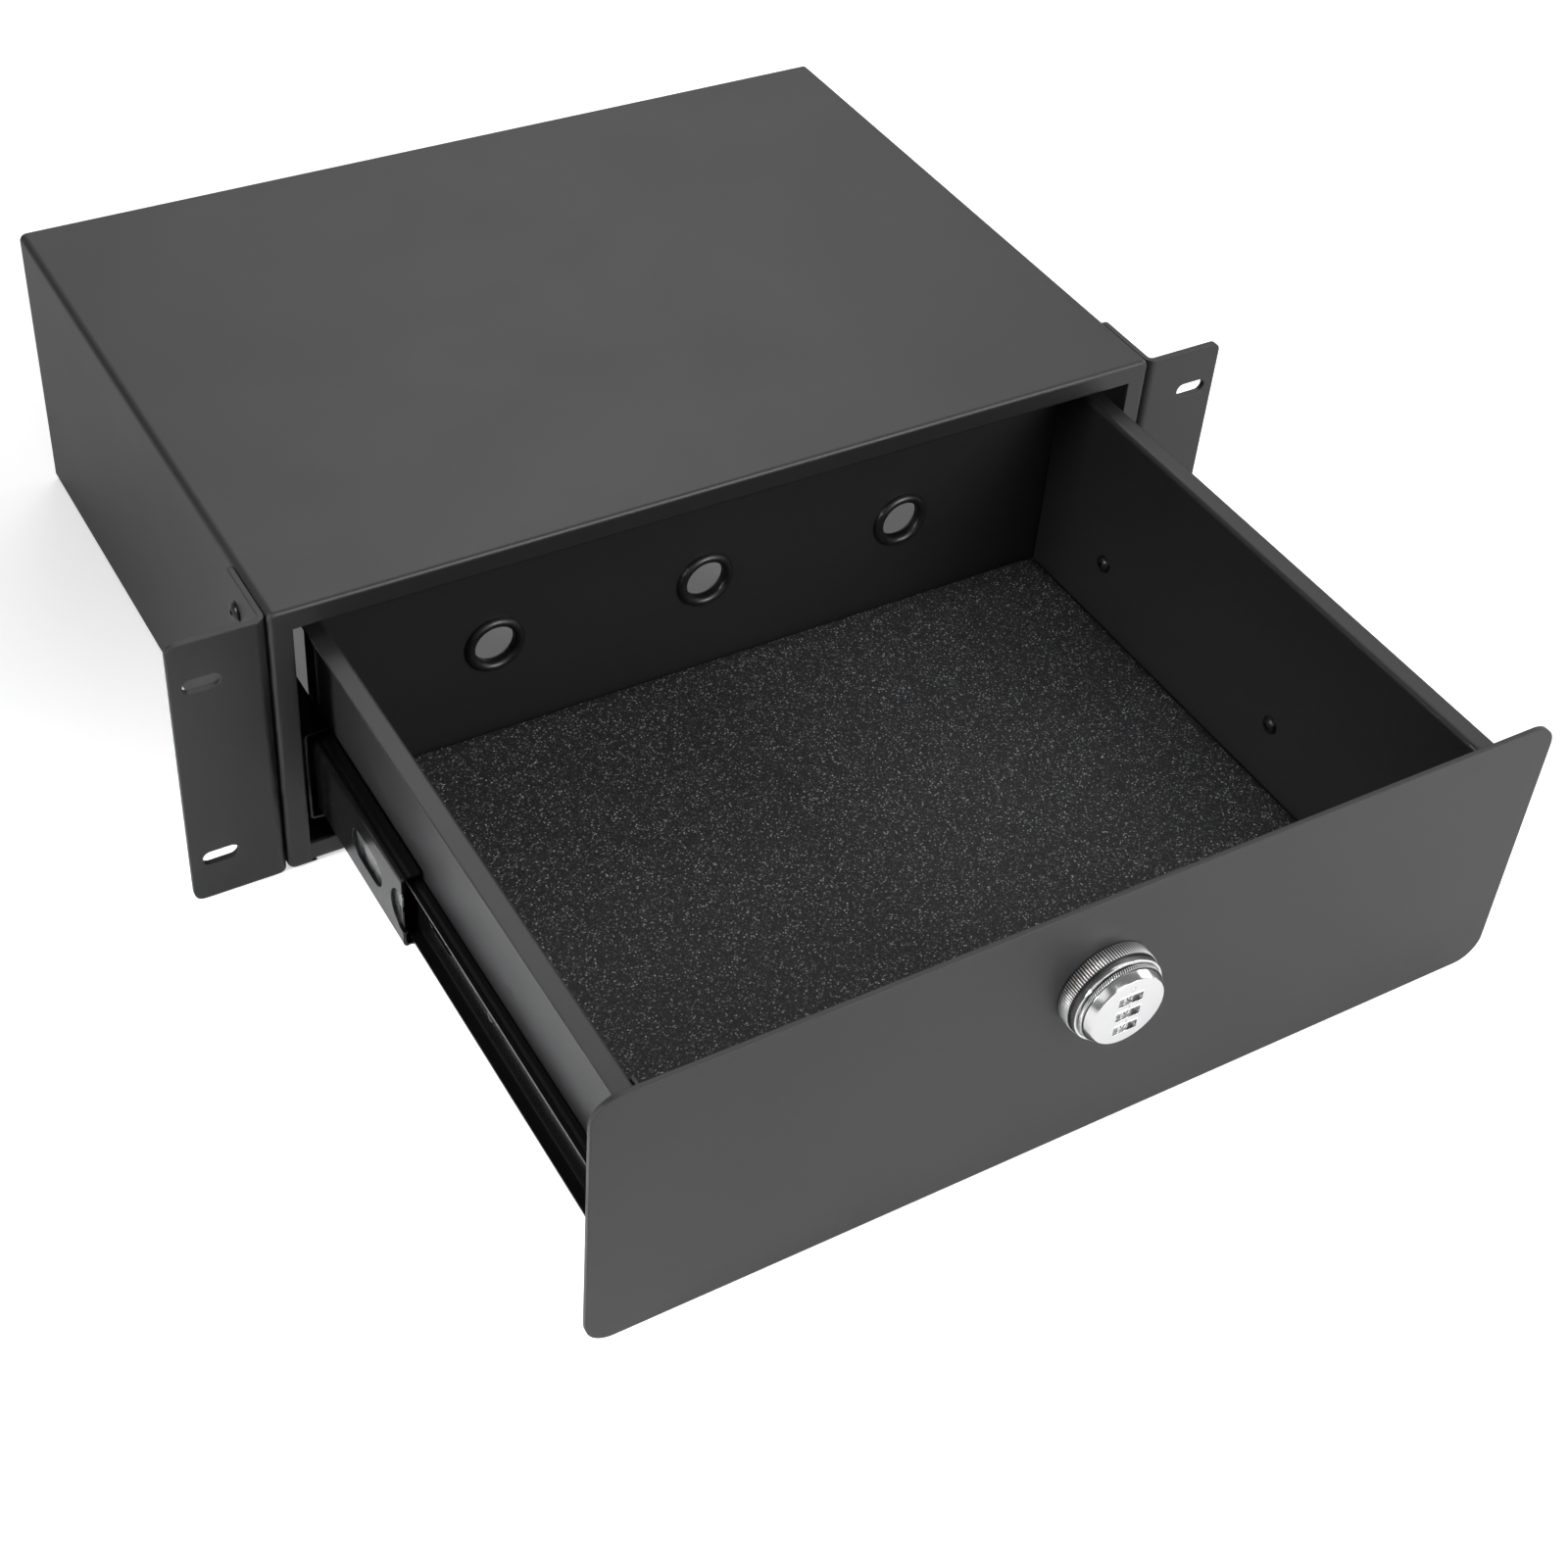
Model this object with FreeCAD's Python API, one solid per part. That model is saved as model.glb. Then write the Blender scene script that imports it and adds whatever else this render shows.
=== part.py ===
import FreeCAD, Part
import math
import os

# Sliding rack drawer, three rack units high, drawn out on ball-bearing slides as it is in use.
# Millimetres. X runs to the right, the front faces -Y, Z is up.
# The origin is the centre of the rack-ear slot pattern, in the front plane of the ears.

V = FreeCAD.Vector
OUT = "parts"

# Rack ears, to the 19 inch rack standard
rack_width = 482.6
ear_sheet = 2.5
ear_bend_radius = 2.0
ear_depth = 37.5
ear_corner_radius = 4.0
ear_slot_length = 15.0
ear_slot_width = 6.5
ear_slot_from_edge = 12.3
ear_slot_pitch = 88.9
ear_screw_from_rear = 10.0
ear_screw_from_end = 15.5
ear_screw_count = 2

# Cabinet
cabinet_width = 404.0
cabinet_height = 132.5
cabinet_depth = 292.0
cabinet_below_ears = 0.5
cabinet_above_ears = 1.5
sheet = 1.2
bend_radius = 2.0
front_edge_radius = 1.8
front_flange = 9.5
rear_flange = 9.5
bottom_lip = 12.0
tie_depth = 28.0
tie_front_height = 9.8
tie_rear_height = 8.0
fit_gap = 0.1

# Drawer
drawer_open = 256.0
closed_gap = 0.3
panel_sheet = 2.0
panel_width = 400.0
panel_height = 125.5
panel_bottom = 5.6
panel_corner_radius = 11.0
tray_inner_width = 354.0
tray_bottom = 11.6
tray_top = 115.1
tray_length = 282.8
tray_flange = 8.6
tray_bend_radius = 1.0
back_tab = 11.0
front_tab = 14.0
foam_thickness = 2.0
foam_corner_radius = 6.0

# Cable holes and their grommets
cable_hole_pitch = 98.3
cable_hole_height = 61.5
grommet_flange_radius = 13.5
grommet_crest_radius = 11.8
grommet_neck_radius = 11.2
grommet_bore_radius = 9.0
grommet_lip = 2.6

# Ball-bearing slides
slide_height = 45.3
slide_thickness = 12.7
slide_centre = 45.0
slide_length = 270.0
slide_front = 1.5
slide_steel = 1.2
outer_flange = 10.6
middle_steel = 1.4
middle_length = 222.0
middle_front = -82.0
middle_web_offset = 3.4
middle_reach = 11.6
middle_slot_place = 33.0
middle_slot_length = 28.0
middle_slot_width = 14.0
middle_notch_depth = 10.5
middle_notch_width = 20.0
inner_flange = 6.3
inner_slot_place = 160.0
inner_slot_length = 20.0
inner_slot_width = 7.0
outer_ball_radius = 2.0
inner_ball_radius = 1.6
raceway_clearance = 0.06
raceway_depth = 0.4
outer_raceway_offset = 6.2
inner_raceway_offset = 8.4
cage_steel = 0.7
outer_cage_front = 14.0
outer_cage_length = 116.0
outer_ball_count = 8
outer_cage_offset = 2.0
inner_cage_front = -78.0
inner_cage_length = 88.0
inner_ball_count = 7
inner_cage_offset = 5.1
bracket_height = 36.0
bracket_crown = 22.0
bracket_foot = 11.0
bracket_places = (64.0, 226.0)

# Combination lock
lock_height = 87.9
collar_radius = 19.2
collar_length = 6.0
knurl_count = 44
knurl_depth = 0.5
groove_radius = 17.8
groove_length = 0.9
bead_radius = 18.5
bead_length = 2.3
bead_chamfer = 0.8
sleeve_radius = 11.0
sleeve_length = 11.0
lock_nut_width = 28.0
lock_nut_thickness = 5.0
knob_clearance = 0.3
knob_ring_radius = 17.2
knob_ring_length = 1.9
barrel_radius_back = 16.3
barrel_radius_front = 15.3
knob_projection = 15.0
drum_radius = 15.4
drum_floor = 0.8
spindle_radius = 4.0
spindle_clearance = 0.08
spindle_square = 5.6
window_width = 10.0
window_height = 3.9
window_pitch = 7.2
window_drop = 1.1
wheel_radius = 6.0
wheel_height = 5.9
wheel_faces = 10
wheel_clearance = 0.2
wheel_axis_depth = 7.2
wheel_bore_clearance = 0.06
axle_radius = 1.0
axle_overhang = 1.4
cam_length = 39.0
cam_width = 14.0
cam_sheet = 2.0
cam_crank_start = 19.0
cam_crank_run = 7.0
cam_to_panel = 2.0
cam_tip_radius = 3.0
cam_hub_radius = 4.0
cam_screw_length = 6.0

# Screws, nuts and balls
screw_radius = 2.0
screw_hole_clearance = 0.1
button_head_radius = 4.2
button_head_height = 2.3
nut_width = 7.0
nut_thickness = 3.2
ball_meridians = 6
ball_latitude = 30.0
fastener_sides = 8
ring_sides = 20
lock_sides = 32
spindle_sides = 16
slide_screw_places = (235.0, 115.8, 23.0)
tail_radius = 2.6
tail_height = 1.2

# Levels and planes that follow from the sizes above
ear_height = cabinet_height - cabinet_below_ears - cabinet_above_ears
base = -(cabinet_below_ears + ear_height / 2)
half_cabinet = cabinet_width / 2
cabinet_top = base + cabinet_height
panel_back = -closed_gap - drawer_open
panel_front = panel_back - panel_sheet
tray_front = panel_back
tray_back = tray_front + tray_length
tray_low = base + tray_bottom
tray_high = base + tray_top
half_tray = tray_inner_width / 2
tray_outer = half_tray + sheet
slide_z = base + slide_centre
slide_face = tray_outer + slide_thickness
lock_z = base + lock_height
cable_hole_z = base + cable_hole_height


def box(x0, x1, y0, y1, z0, z1):
    return Part.makeBox(x1 - x0, y1 - y0, z1 - z0, V(x0, y0, z0))


def rod(radius, length, start, direction):
    return Part.makeCylinder(radius, length, start, direction)


def xz(y):
    return lambda u, v: V(u, y, v)


def yz(x):
    return lambda u, v: V(x, u, v)


def xy(z):
    return lambda u, v: V(u, v, z)


def ring_of_points(radius, sides, centre, direction):
    """Corners of a regular polygon round centre, square to direction."""
    side = V(0, 0, 1) if abs(direction.z) < 0.5 else V(1, 0, 0)
    other = direction.cross(side)
    angles = [2 * math.pi * i / sides for i in range(sides)]
    return [centre + side * (radius * math.cos(a)) + other * (radius * math.sin(a)) for a in angles]


def closed_face(corners):
    return Part.Face(Part.makePolygon(corners + corners[:1]))


def prism(radius, sides, length, start, direction):
    """A many-sided rod, for small round pieces and their holes."""
    return closed_face(ring_of_points(radius, sides, start, direction)).extrude(direction * length)


def turn_at(before, corner, after, radius):
    """Tangent points, centre and side of one bend of a path."""
    d1 = ((corner[0] - before[0]), (corner[1] - before[1]))
    d2 = ((after[0] - corner[0]), (after[1] - corner[1]))
    l1 = math.hypot(*d1)
    l2 = math.hypot(*d2)
    d1 = (d1[0] / l1, d1[1] / l1)
    d2 = (d2[0] / l2, d2[1] / l2)
    cross = d1[0] * d2[1] - d1[1] * d2[0]
    angle = math.atan2(cross, d1[0] * d2[0] + d1[1] * d2[1])
    reach = radius * math.tan(abs(angle) / 2)
    side = 1 if angle > 0 else -1
    centre = (corner[0] - d1[0] * reach - d1[1] * radius * side,
              corner[1] - d1[1] * reach + d1[0] * radius * side)
    return d1, d2, reach, side, centre


def offset_side(path, shift, radius, place):
    """Edges of a path moved sideways by shift, with its bends as arcs."""
    edges = []
    d = (path[1][0] - path[0][0], path[1][1] - path[0][1])
    size = math.hypot(*d)
    here = place(path[0][0] - d[1] / size * shift, path[0][1] + d[0] / size * shift)
    for before, corner, after in zip(path, path[1:], path[2:]):
        d1, d2, reach, side, centre = turn_at(before, corner, after, radius)
        start = place(corner[0] - d1[0] * reach - d1[1] * shift,
                      corner[1] - d1[1] * reach + d1[0] * shift)
        end = place(corner[0] + d2[0] * reach - d2[1] * shift,
                    corner[1] + d2[1] * reach + d2[0] * shift)
        away = (corner[0] - centre[0], corner[1] - centre[1])
        scale = (radius - side * shift) / math.hypot(*away)
        middle = place(centre[0] + away[0] * scale, centre[1] + away[1] * scale)
        edges.append(Part.makeLine(here, start))
        edges.append(Part.Arc(start, middle, end).toShape())
        here = end
    last = path[-1]
    d = (last[0] - path[-2][0], last[1] - path[-2][1])
    size = math.hypot(*d)
    finish = place(last[0] - d[1] / size * shift, last[1] + d[0] / size * shift)
    edges.append(Part.makeLine(here, finish))
    return edges


def bent_sheet(path, thickness, inner_radius, place, extrusion):
    """A bent sheet: path runs along the middle of the sheet's thickness."""
    radius = inner_radius + thickness / 2
    left = offset_side(path, thickness / 2, radius, place)
    right = offset_side(path, -thickness / 2, radius, place)
    first = Part.makeLine(left[0].Vertexes[0].Point, right[0].Vertexes[0].Point)
    last = Part.makeLine(left[-1].Vertexes[-1].Point, right[-1].Vertexes[-1].Point)
    wire = Part.Wire(Part.__sortEdges__(left + right + [first, last]))
    return Part.Face(wire).extrude(extrusion)


def folded_sheet(path, thickness, place, extrusion):
    """A sheet with sharp folds: path runs along the middle of the sheet's thickness."""
    normals = []
    for (u0, v0), (u1, v1) in zip(path, path[1:]):
        run = math.hypot(u1 - u0, v1 - v0)
        normals.append(((v0 - v1) / run, (u1 - u0) / run))
    outline = []
    for shift in (thickness / 2, -thickness / 2):
        line = []
        for (u, v), a, b in zip(path, normals[:1] + normals, normals + normals[-1:]):
            k = shift / (1 + a[0] * b[0] + a[1] * b[1])
            line.append(place(u + (a[0] + b[0]) * k, v + (a[1] + b[1]) * k))
        outline.append(line)
    return closed_face(outline[0] + outline[1][::-1]).extrude(extrusion)


def obround(length, width, centre, place, extrusion):
    """A slot cutter whose long side runs along the first direction of place."""
    r = width / 2
    a = length / 2 - r
    u, v = centre
    edges = [Part.makeLine(place(u - a, v - r), place(u + a, v - r)),
             Part.Arc(place(u + a, v - r), place(u + a + r, v), place(u + a, v + r)).toShape(),
             Part.makeLine(place(u + a, v + r), place(u - a, v + r)),
             Part.Arc(place(u - a, v + r), place(u - a - r, v), place(u - a, v - r)).toShape()]
    return Part.Face(Part.Wire(edges)).extrude(extrusion)


def edges_along(shape, axis, test):
    """Straight edges of shape along one axis whose middle passes the test."""
    found = []
    for edge in shape.Edges:
        if not isinstance(edge.Curve, (Part.Line, Part.LineSegment)):
            continue
        a, b = edge.Vertexes[0].Point, edge.Vertexes[-1].Point
        run = (b - a).normalize()
        if abs(abs(run.dot(axis)) - 1) < 1e-6 and test((a + b) * 0.5):
            found.append(edge)
    return found


def hexagon(width, thickness, centre, direction):
    """A hexagonal prism that starts at centre and runs along direction."""
    return prism(width / math.sqrt(3), 6, thickness, centre, direction)


def hex_nut(width, thickness, bore, centre, direction):
    nut = hexagon(width, thickness, centre, direction)
    return nut.cut(prism(bore, fastener_sides, thickness + 2, centre - direction, direction))


def faceted_turn(points, sides, centre, direction, hollow=False):
    """Turn an outline of (radius, distance along direction) points with flat facets."""
    rings = [ring_of_points(r, sides, centre + direction * d, direction) for r, d in points]
    faces = [] if hollow else [closed_face(rings[0]), closed_face(rings[-1])]
    for near, far in zip(rings, rings[1:] + rings[:1] if hollow else rings[1:]):
        for i in range(sides):
            j = (i + 1) % sides
            faces.append(closed_face([near[i], near[j], far[j], far[i]]))
    solid = Part.makeSolid(Part.makeShell(faces))
    if solid.Volume < 0:
        solid.reverse()
    return solid


def button_screw(length, centre, direction, tail=0):
    """A button-head screw: head outside centre, shank along direction, its end spread if tail is given."""
    r, h = button_head_radius, button_head_height
    points = [(r * 0.6, -h), (r, 0), (screw_radius, 0), (screw_radius, length)]
    if tail:
        points += [(tail, length), (tail, length + tail_height)]
    return faceted_turn(points, fastener_sides, centre, direction)


def faceted_ball(radius, centre):
    """A ball with flat facets, its poles above and below the centre."""
    n, up = ball_meridians, V(0, 0, 1)
    flat = radius * math.cos(math.radians(ball_latitude))
    rise = up * (radius * math.sin(math.radians(ball_latitude)))
    low, high = [ring_of_points(flat, n, centre + shift, up) for shift in (rise * -1, rise)]
    south, north = centre - up * radius, centre + up * radius
    faces = []
    for i in range(n):
        j = (i + 1) % n
        for loop in ([south, low[j], low[i]], [north, high[i], high[j]], [low[i], low[j], high[j], high[i]]):
            faces.append(closed_face(loop))
    return Part.makeSolid(Part.makeShell(faces))


def save(name, *solids):
    shape = solids[0] if len(solids) == 1 else Part.makeCompound(list(solids))
    shape.exportStep(os.path.join(OUT, name + ".step"))


def screw_holes(shape, centres, direction, reach):
    """Screw holes right through, each centred on a point."""
    radius = screw_radius + screw_hole_clearance
    for centre in centres:
        start = centre - direction * reach
        shape = shape.cut(prism(radius, fastener_sides, 2 * reach, start, direction))
    return shape


# Cabinet

ear_screw_z = [base + cabinet_below_ears + ear_screw_from_end
               + i * (ear_height - 2 * ear_screw_from_end) / (ear_screw_count - 1)
               for i in range(ear_screw_count)]
ear_screw_y = ear_depth - ear_screw_from_rear


def ear_screw_points(side):
    return [V(side * half_cabinet, ear_screw_y, z) for z in ear_screw_z]


def make_cabinet_shell():
    mid = half_cabinet - sheet / 2
    low = base + sheet / 2
    high = cabinet_top - sheet / 2
    lip_end = half_cabinet - bottom_lip
    path = [(-lip_end, low), (-mid, low), (-mid, high), (mid, high), (mid, low), (lip_end, low)]
    shell = bent_sheet(path, sheet, bend_radius, xz(0), V(0, cabinet_depth, 0))
    for y0, width in ((0, front_flange), (cabinet_depth - sheet, rear_flange)):
        frame = box(-half_cabinet, half_cabinet, y0, y0 + sheet, base, cabinet_top)
        opening = box(-half_cabinet + width, half_cabinet - width, y0 - 1, y0 + sheet + 1,
                      base - 1, cabinet_top - width)
        r = bend_radius + sheet
        frame = frame.makeFillet(r, edges_along(frame, V(0, 1, 0), lambda p: True))
        shell = shell.fuse(frame.cut(opening))
    shell = shell.removeSplitter()
    rim = [e for e in shell.Edges if abs(e.CenterOfMass.y) < 1e-6 and on_outline(e)]
    shell = shell.makeFillet(front_edge_radius, rim)
    for side in (-1, 1):
        shell = screw_holes(shell, ear_screw_points(side), V(1, 0, 0), 5)
    return shell


def on_outline(edge):
    """True for a front edge that lies on the outside of the cabinet's sides and top."""
    c = edge.CenterOfMass
    r = bend_radius + sheet
    near_side = abs(c.x) > half_cabinet - r and c.z > base + r
    near_top = c.z > cabinet_top - r
    inside = abs(c.x) < half_cabinet - front_flange + 1e-6 and c.z < cabinet_top - sheet - 0.1
    return (near_side or near_top) and not inside


def make_bottom_tie(front):
    """A cross member on the side lips, turned up at its front and rear."""
    z0 = base + sheet
    mid = z0 + sheet / 2
    near, far = (tie_front_height, tie_rear_height) if front else (tie_rear_height, tie_rear_height)
    path = [(sheet / 2, z0 + near), (sheet / 2, mid), (tie_depth - sheet / 2, mid),
            (tie_depth - sheet / 2, z0 + far)]
    half = half_cabinet - sheet - bend_radius - fit_gap
    tie = bent_sheet(path, sheet, sheet, yz(-half), V(2 * half, 0, 0))
    flange = front_flange + fit_gap
    for side in (-1, 1):
        x0, x1 = sorted((side * (half_cabinet - flange), side * (half + 1)))
        tie = tie.cut(box(x0, x1, -1, 2 * sheet + fit_gap, base, cabinet_top))
    if not front:
        tie.rotate(V(0, 0, 0), V(0, 0, 1), 180)
        tie.translate(V(0, cabinet_depth, 0))
    return tie


def make_ear(side):
    t = ear_sheet
    z0 = base + cabinet_below_ears
    path = [(side * rack_width / 2, t / 2), (side * (half_cabinet + t / 2), t / 2),
            (side * (half_cabinet + t / 2), ear_depth)]
    ear = bent_sheet(path, t, ear_bend_radius, xy(z0), V(0, 0, ear_height))
    outer = rack_width / 2
    corners = edges_along(ear, V(0, 1, 0), lambda p: abs(abs(p.x) - outer) < 1e-6)
    corners += edges_along(ear, V(1, 0, 0), lambda p: abs(p.y - ear_depth) < 1e-6)
    ear = ear.makeFillet(ear_corner_radius, corners)
    for z in (-ear_slot_pitch / 2, ear_slot_pitch / 2):
        centre = (side * (outer - ear_slot_from_edge), z)
        ear = ear.cut(obround(ear_slot_length, ear_slot_width, centre, xz(-1), V(0, t + 2, 0)))
    return screw_holes(ear, ear_screw_points(side), V(1, 0, 0), 5)


def make_ear_screws():
    screws = []
    for side in (-1, 1):
        inward = V(-side, 0, 0)
        length = ear_sheet + sheet + nut_thickness + 1
        for p in ear_screw_points(side):
            screws.append(button_screw(length, p - inward * ear_sheet, inward))
    return screws


def make_ear_nuts():
    nuts = []
    for side in (-1, 1):
        inward = V(-side, 0, 0)
        for p in ear_screw_points(side):
            nuts.append(hex_nut(nut_width, nut_thickness, screw_radius, p + inward * sheet, inward))
    return nuts


# Slides: offsets run from the cabinet-side face of a slide towards the drawer

def slide_x(side, offset):
    return side * (slide_face - offset)


outer_half = slide_height / 2
outer_ball_height = outer_half - slide_steel + raceway_depth - outer_ball_radius
middle_half = outer_ball_height - outer_ball_radius + raceway_depth
inner_ball_height = middle_half - middle_steel + raceway_depth - inner_ball_radius
inner_half = inner_ball_height - inner_ball_radius + raceway_depth


def channel(side, half, steel, web, tip, y0, length):
    """A slide member: web at one offset, two flanges that reach to another."""
    m = half - steel / 2
    path = [(slide_x(side, tip), slide_z + m), (slide_x(side, web), slide_z + m),
            (slide_x(side, web), slide_z - m), (slide_x(side, tip), slide_z - m)]
    return bent_sheet(path, steel, steel * 0.8, xz(y0), V(0, length, 0))


def cut_raceways(member, side, height, offset, radius, y0, length):
    for sign in (-1, 1):
        start = V(slide_x(side, offset), y0 - 1, slide_z + sign * height)
        member = member.cut(rod(radius + raceway_clearance, length + 2, start, V(0, 1, 0)))
    return member


def slide_screw_points(side):
    return [V(side * half_tray, panel_front + d, slide_z) for d in slide_screw_places]


def make_slide_outer(side):
    member = channel(side, outer_half, slide_steel, slide_steel / 2, outer_flange,
                     slide_front, slide_length)
    return cut_raceways(member, side, outer_ball_height, outer_raceway_offset,
                        outer_ball_radius, slide_front, slide_length)


def make_slide_middle(side):
    web = middle_web_offset + middle_steel / 2
    member = channel(side, middle_half, middle_steel, web, middle_reach,
                     middle_front, middle_length)
    member = cut_raceways(member, side, outer_ball_height, outer_raceway_offset,
                          outer_ball_radius, middle_front, middle_length)
    member = cut_raceways(member, side, inner_ball_height, inner_raceway_offset,
                          inner_ball_radius, middle_front, middle_length)
    centre = (middle_front + middle_slot_place, slide_z)
    place = yz(slide_x(side, web) - 3)
    member = member.cut(obround(middle_slot_length, middle_slot_width, centre, place, V(6, 0, 0)))
    notch = obround(2 * middle_notch_depth, middle_notch_width, (middle_front, slide_z), place, V(6, 0, 0))
    return member.cut(notch)


def inner_front():
    return slide_front - drawer_open


def make_slide_inner(side):
    member = channel(side, inner_half, slide_steel, slide_thickness - slide_steel / 2,
                     slide_thickness - inner_flange, inner_front(), slide_length)
    member = cut_raceways(member, side, inner_ball_height, inner_raceway_offset,
                          inner_ball_radius, inner_front(), slide_length)
    web_x = slide_x(side, slide_thickness)
    centre = (panel_front + inner_slot_place, slide_z)
    slot = obround(inner_slot_length, inner_slot_width, centre, yz(web_x - 3), V(6, 0, 0))
    member = member.cut(slot)
    return screw_holes(member, slide_screw_points(side), V(1, 0, 0), 5)


def ball_rows(front, length, count):
    pitch = length / count
    return [front + pitch * (i + 0.5) for i in range(count)]


def make_cage(side, front, length, offset, height, reach, radius, count):
    """A U-shaped ball cage with a pocket round each ball."""
    web = offset + cage_steel / 2
    path = [(slide_x(side, reach), slide_z + height), (slide_x(side, web), slide_z + height),
            (slide_x(side, web), slide_z - height), (slide_x(side, reach), slide_z - height)]
    cage = folded_sheet(path, cage_steel, xz(front), V(0, length, 0))
    x = slide_x(side, outer_raceway_offset if radius == outer_ball_radius else inner_raceway_offset)
    pockets = []
    for y in ball_rows(front, length, count):
        pockets.append(box(x - radius, x + radius, y - radius, y + radius,
                           slide_z - height - 2, slide_z + height + 2))
    return cage.cut(Part.makeCompound(pockets))


def make_balls(side, front, length, offset, height, radius, count):
    x = slide_x(side, offset)
    return [faceted_ball(radius, V(x, y, slide_z + sign * height))
            for sign in (-1, 1) for y in ball_rows(front, length, count)]


def make_bracket(side, y):
    """A hat-shaped spacer between the cabinet side and the slide."""
    t = sheet
    wall = side * (half_cabinet - sheet - t / 2)
    crown = side * (slide_face + t / 2)
    h, f = bracket_crown / 2, bracket_foot
    path = [(wall, y - h - f), (wall, y - h), (crown, y - h), (crown, y + h), (wall, y + h),
            (wall, y + h + f)]
    low = slide_z - bracket_height / 2
    return folded_sheet(path, t, xy(low), V(0, 0, bracket_height))


# Drawer

def make_drawer_tray():
    t = sheet
    mid = half_tray + t / 2
    low = tray_low + t / 2
    high = tray_high - t / 2
    edge = half_tray + tray_flange
    path = [(-edge, high), (-mid, high), (-mid, low), (mid, low), (mid, high), (edge, high)]
    tray = bent_sheet(path, t, tray_bend_radius, xz(tray_front), V(0, tray_length, 0))
    for side in (-1, 1):
        tray = screw_holes(tray, slide_screw_points(side), V(1, 0, 0), 4)
        x0, x1 = sorted((side * half_tray, side * (tray_outer + 1)))
        tray = tray.cut(box(x0, x1, tray_back - t - fit_gap, tray_back + 1, tray_low - 1,
                            tray_high - t - tray_bend_radius))
    return tray


cable_holes = [(i * cable_hole_pitch, cable_hole_z) for i in (-1, 0, 1)]


def make_drawer_back():
    t = sheet
    mid = tray_outer + t / 2
    y = tray_back + t / 2
    path = [(-mid, tray_back - back_tab), (-mid, y), (mid, y), (mid, tray_back - back_tab)]
    back = bent_sheet(path, t, t, xy(tray_low), V(0, 0, tray_high - tray_low))
    clear_of_flange = box(-mid - 1, mid + 1, tray_back - back_tab - 1, tray_back,
                          tray_high - t - tray_bend_radius, tray_high + 1)
    back = back.cut(clear_of_flange)
    clear_of_slide = box(-mid - 1, mid + 1, tray_back - back_tab - 1, tray_back,
                         slide_z - outer_half - 1, slide_z + outer_half + 1)
    back = back.cut(clear_of_slide)
    for x, z in cable_holes:
        back = back.cut(prism(grommet_neck_radius, ring_sides, 3 * t, V(x, y - t, z), V(0, 1, 0)))
    return back


def lock_hole():
    """The hole for the lock's sleeve, right through the panel and the wall behind it."""
    start = V(0, lock_y(lock_nut_thickness), lock_z)
    return prism(sleeve_radius, lock_sides, lock_nut_thickness + sleeve_length, start, V(0, 1, 0))


def make_front_wall():
    t = sheet
    mid = half_tray - t / 2
    y = tray_front + t / 2
    path = [(-mid, tray_front + t + front_tab), (-mid, y), (mid, y), (mid, tray_front + t + front_tab)]
    low = tray_low + t
    wall = bent_sheet(path, t, t, xy(low), V(0, 0, tray_high - low))
    inset = tray_bend_radius
    for side in (-1, 1):
        wall = wall.cut(corner_relief(side, low, inset))
    return wall.cut(lock_hole())


def corner_relief(side, low, size):
    """A small notch that clears the bend between the tray's floor and its side."""
    x0, x1 = sorted((side * (half_tray - size), side * (half_tray + 1)))
    return box(x0, x1, tray_front - 1, tray_front + sheet + front_tab + 1, low - 1, low + size)


def make_front_panel():
    half = panel_width / 2
    z0 = base + panel_bottom
    panel = box(-half, half, panel_front, panel_back, z0, z0 + panel_height)
    panel = panel.makeFillet(panel_corner_radius, edges_along(panel, V(0, 1, 0), lambda p: True))
    return panel.cut(lock_hole())


def make_slide_screws():
    """Button heads inside the drawer, shanks through wall and slide, their ends spread."""
    screws = []
    for side in (-1, 1):
        for p in slide_screw_points(side):
            screws.append(button_screw(sheet + slide_steel, p, V(side, 0, 0), tail_radius))
    return screws


def make_foam_mat():
    z0 = tray_low + sheet
    gap = tray_bend_radius + fit_gap
    half = half_tray - gap
    front = tray_front + sheet + gap
    back = tray_back - gap
    mat = box(-half, half, front, back, z0, z0 + foam_thickness)
    notch = sheet + front_tab
    for side in (-1, 1):
        x0, x1 = sorted((side * (half - sheet), side * (half + 1)))
        mat = mat.cut(box(x0, x1, front - 1, front + notch, z0 - 1, z0 + foam_thickness + 1))
    edges = edges_along(mat, V(0, 0, 1), lambda p: p.y > back - 1)
    return mat.makeFillet(foam_corner_radius, edges)


def make_grommet(x, z):
    """A rubber ring with a groove that grips the back panel."""
    points = [(grommet_crest_radius, -grommet_lip), (grommet_flange_radius, 0), (grommet_neck_radius, 0),
              (grommet_neck_radius, sheet), (grommet_flange_radius, sheet),
              (grommet_crest_radius, sheet + grommet_lip)]
    seat, along = V(x, tray_back, z), V(0, 1, 0)
    body = faceted_turn(points, ring_sides, seat, along)
    return body.cut(rod(grommet_bore_radius, 4 * grommet_lip, seat - along * (1.5 * grommet_lip), along))


# Lock: depths run forwards from the front face of the panel

def lock_y(depth):
    return panel_front - depth


def knurled_collar():
    """A straight-knurled ring: a star outline drawn forwards from the panel."""
    corners = []
    for i in range(2 * knurl_count):
        r = collar_radius if i % 2 == 0 else collar_radius - knurl_depth
        a = math.pi * i / knurl_count
        corners.append(V(r * math.cos(a), lock_y(0), lock_z + r * math.sin(a)))
    return closed_face(corners).extrude(V(0, -collar_length, 0))


bead_back = collar_length + groove_length
bead_front = bead_back + bead_length
drum_bore = drum_radius + knob_clearance


def lock_turn(points):
    """Turn (radius, depth) points about the lock's axis."""
    return faceted_turn(points, lock_sides, V(0, lock_y(0), lock_z), V(0, -1, 0))


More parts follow.
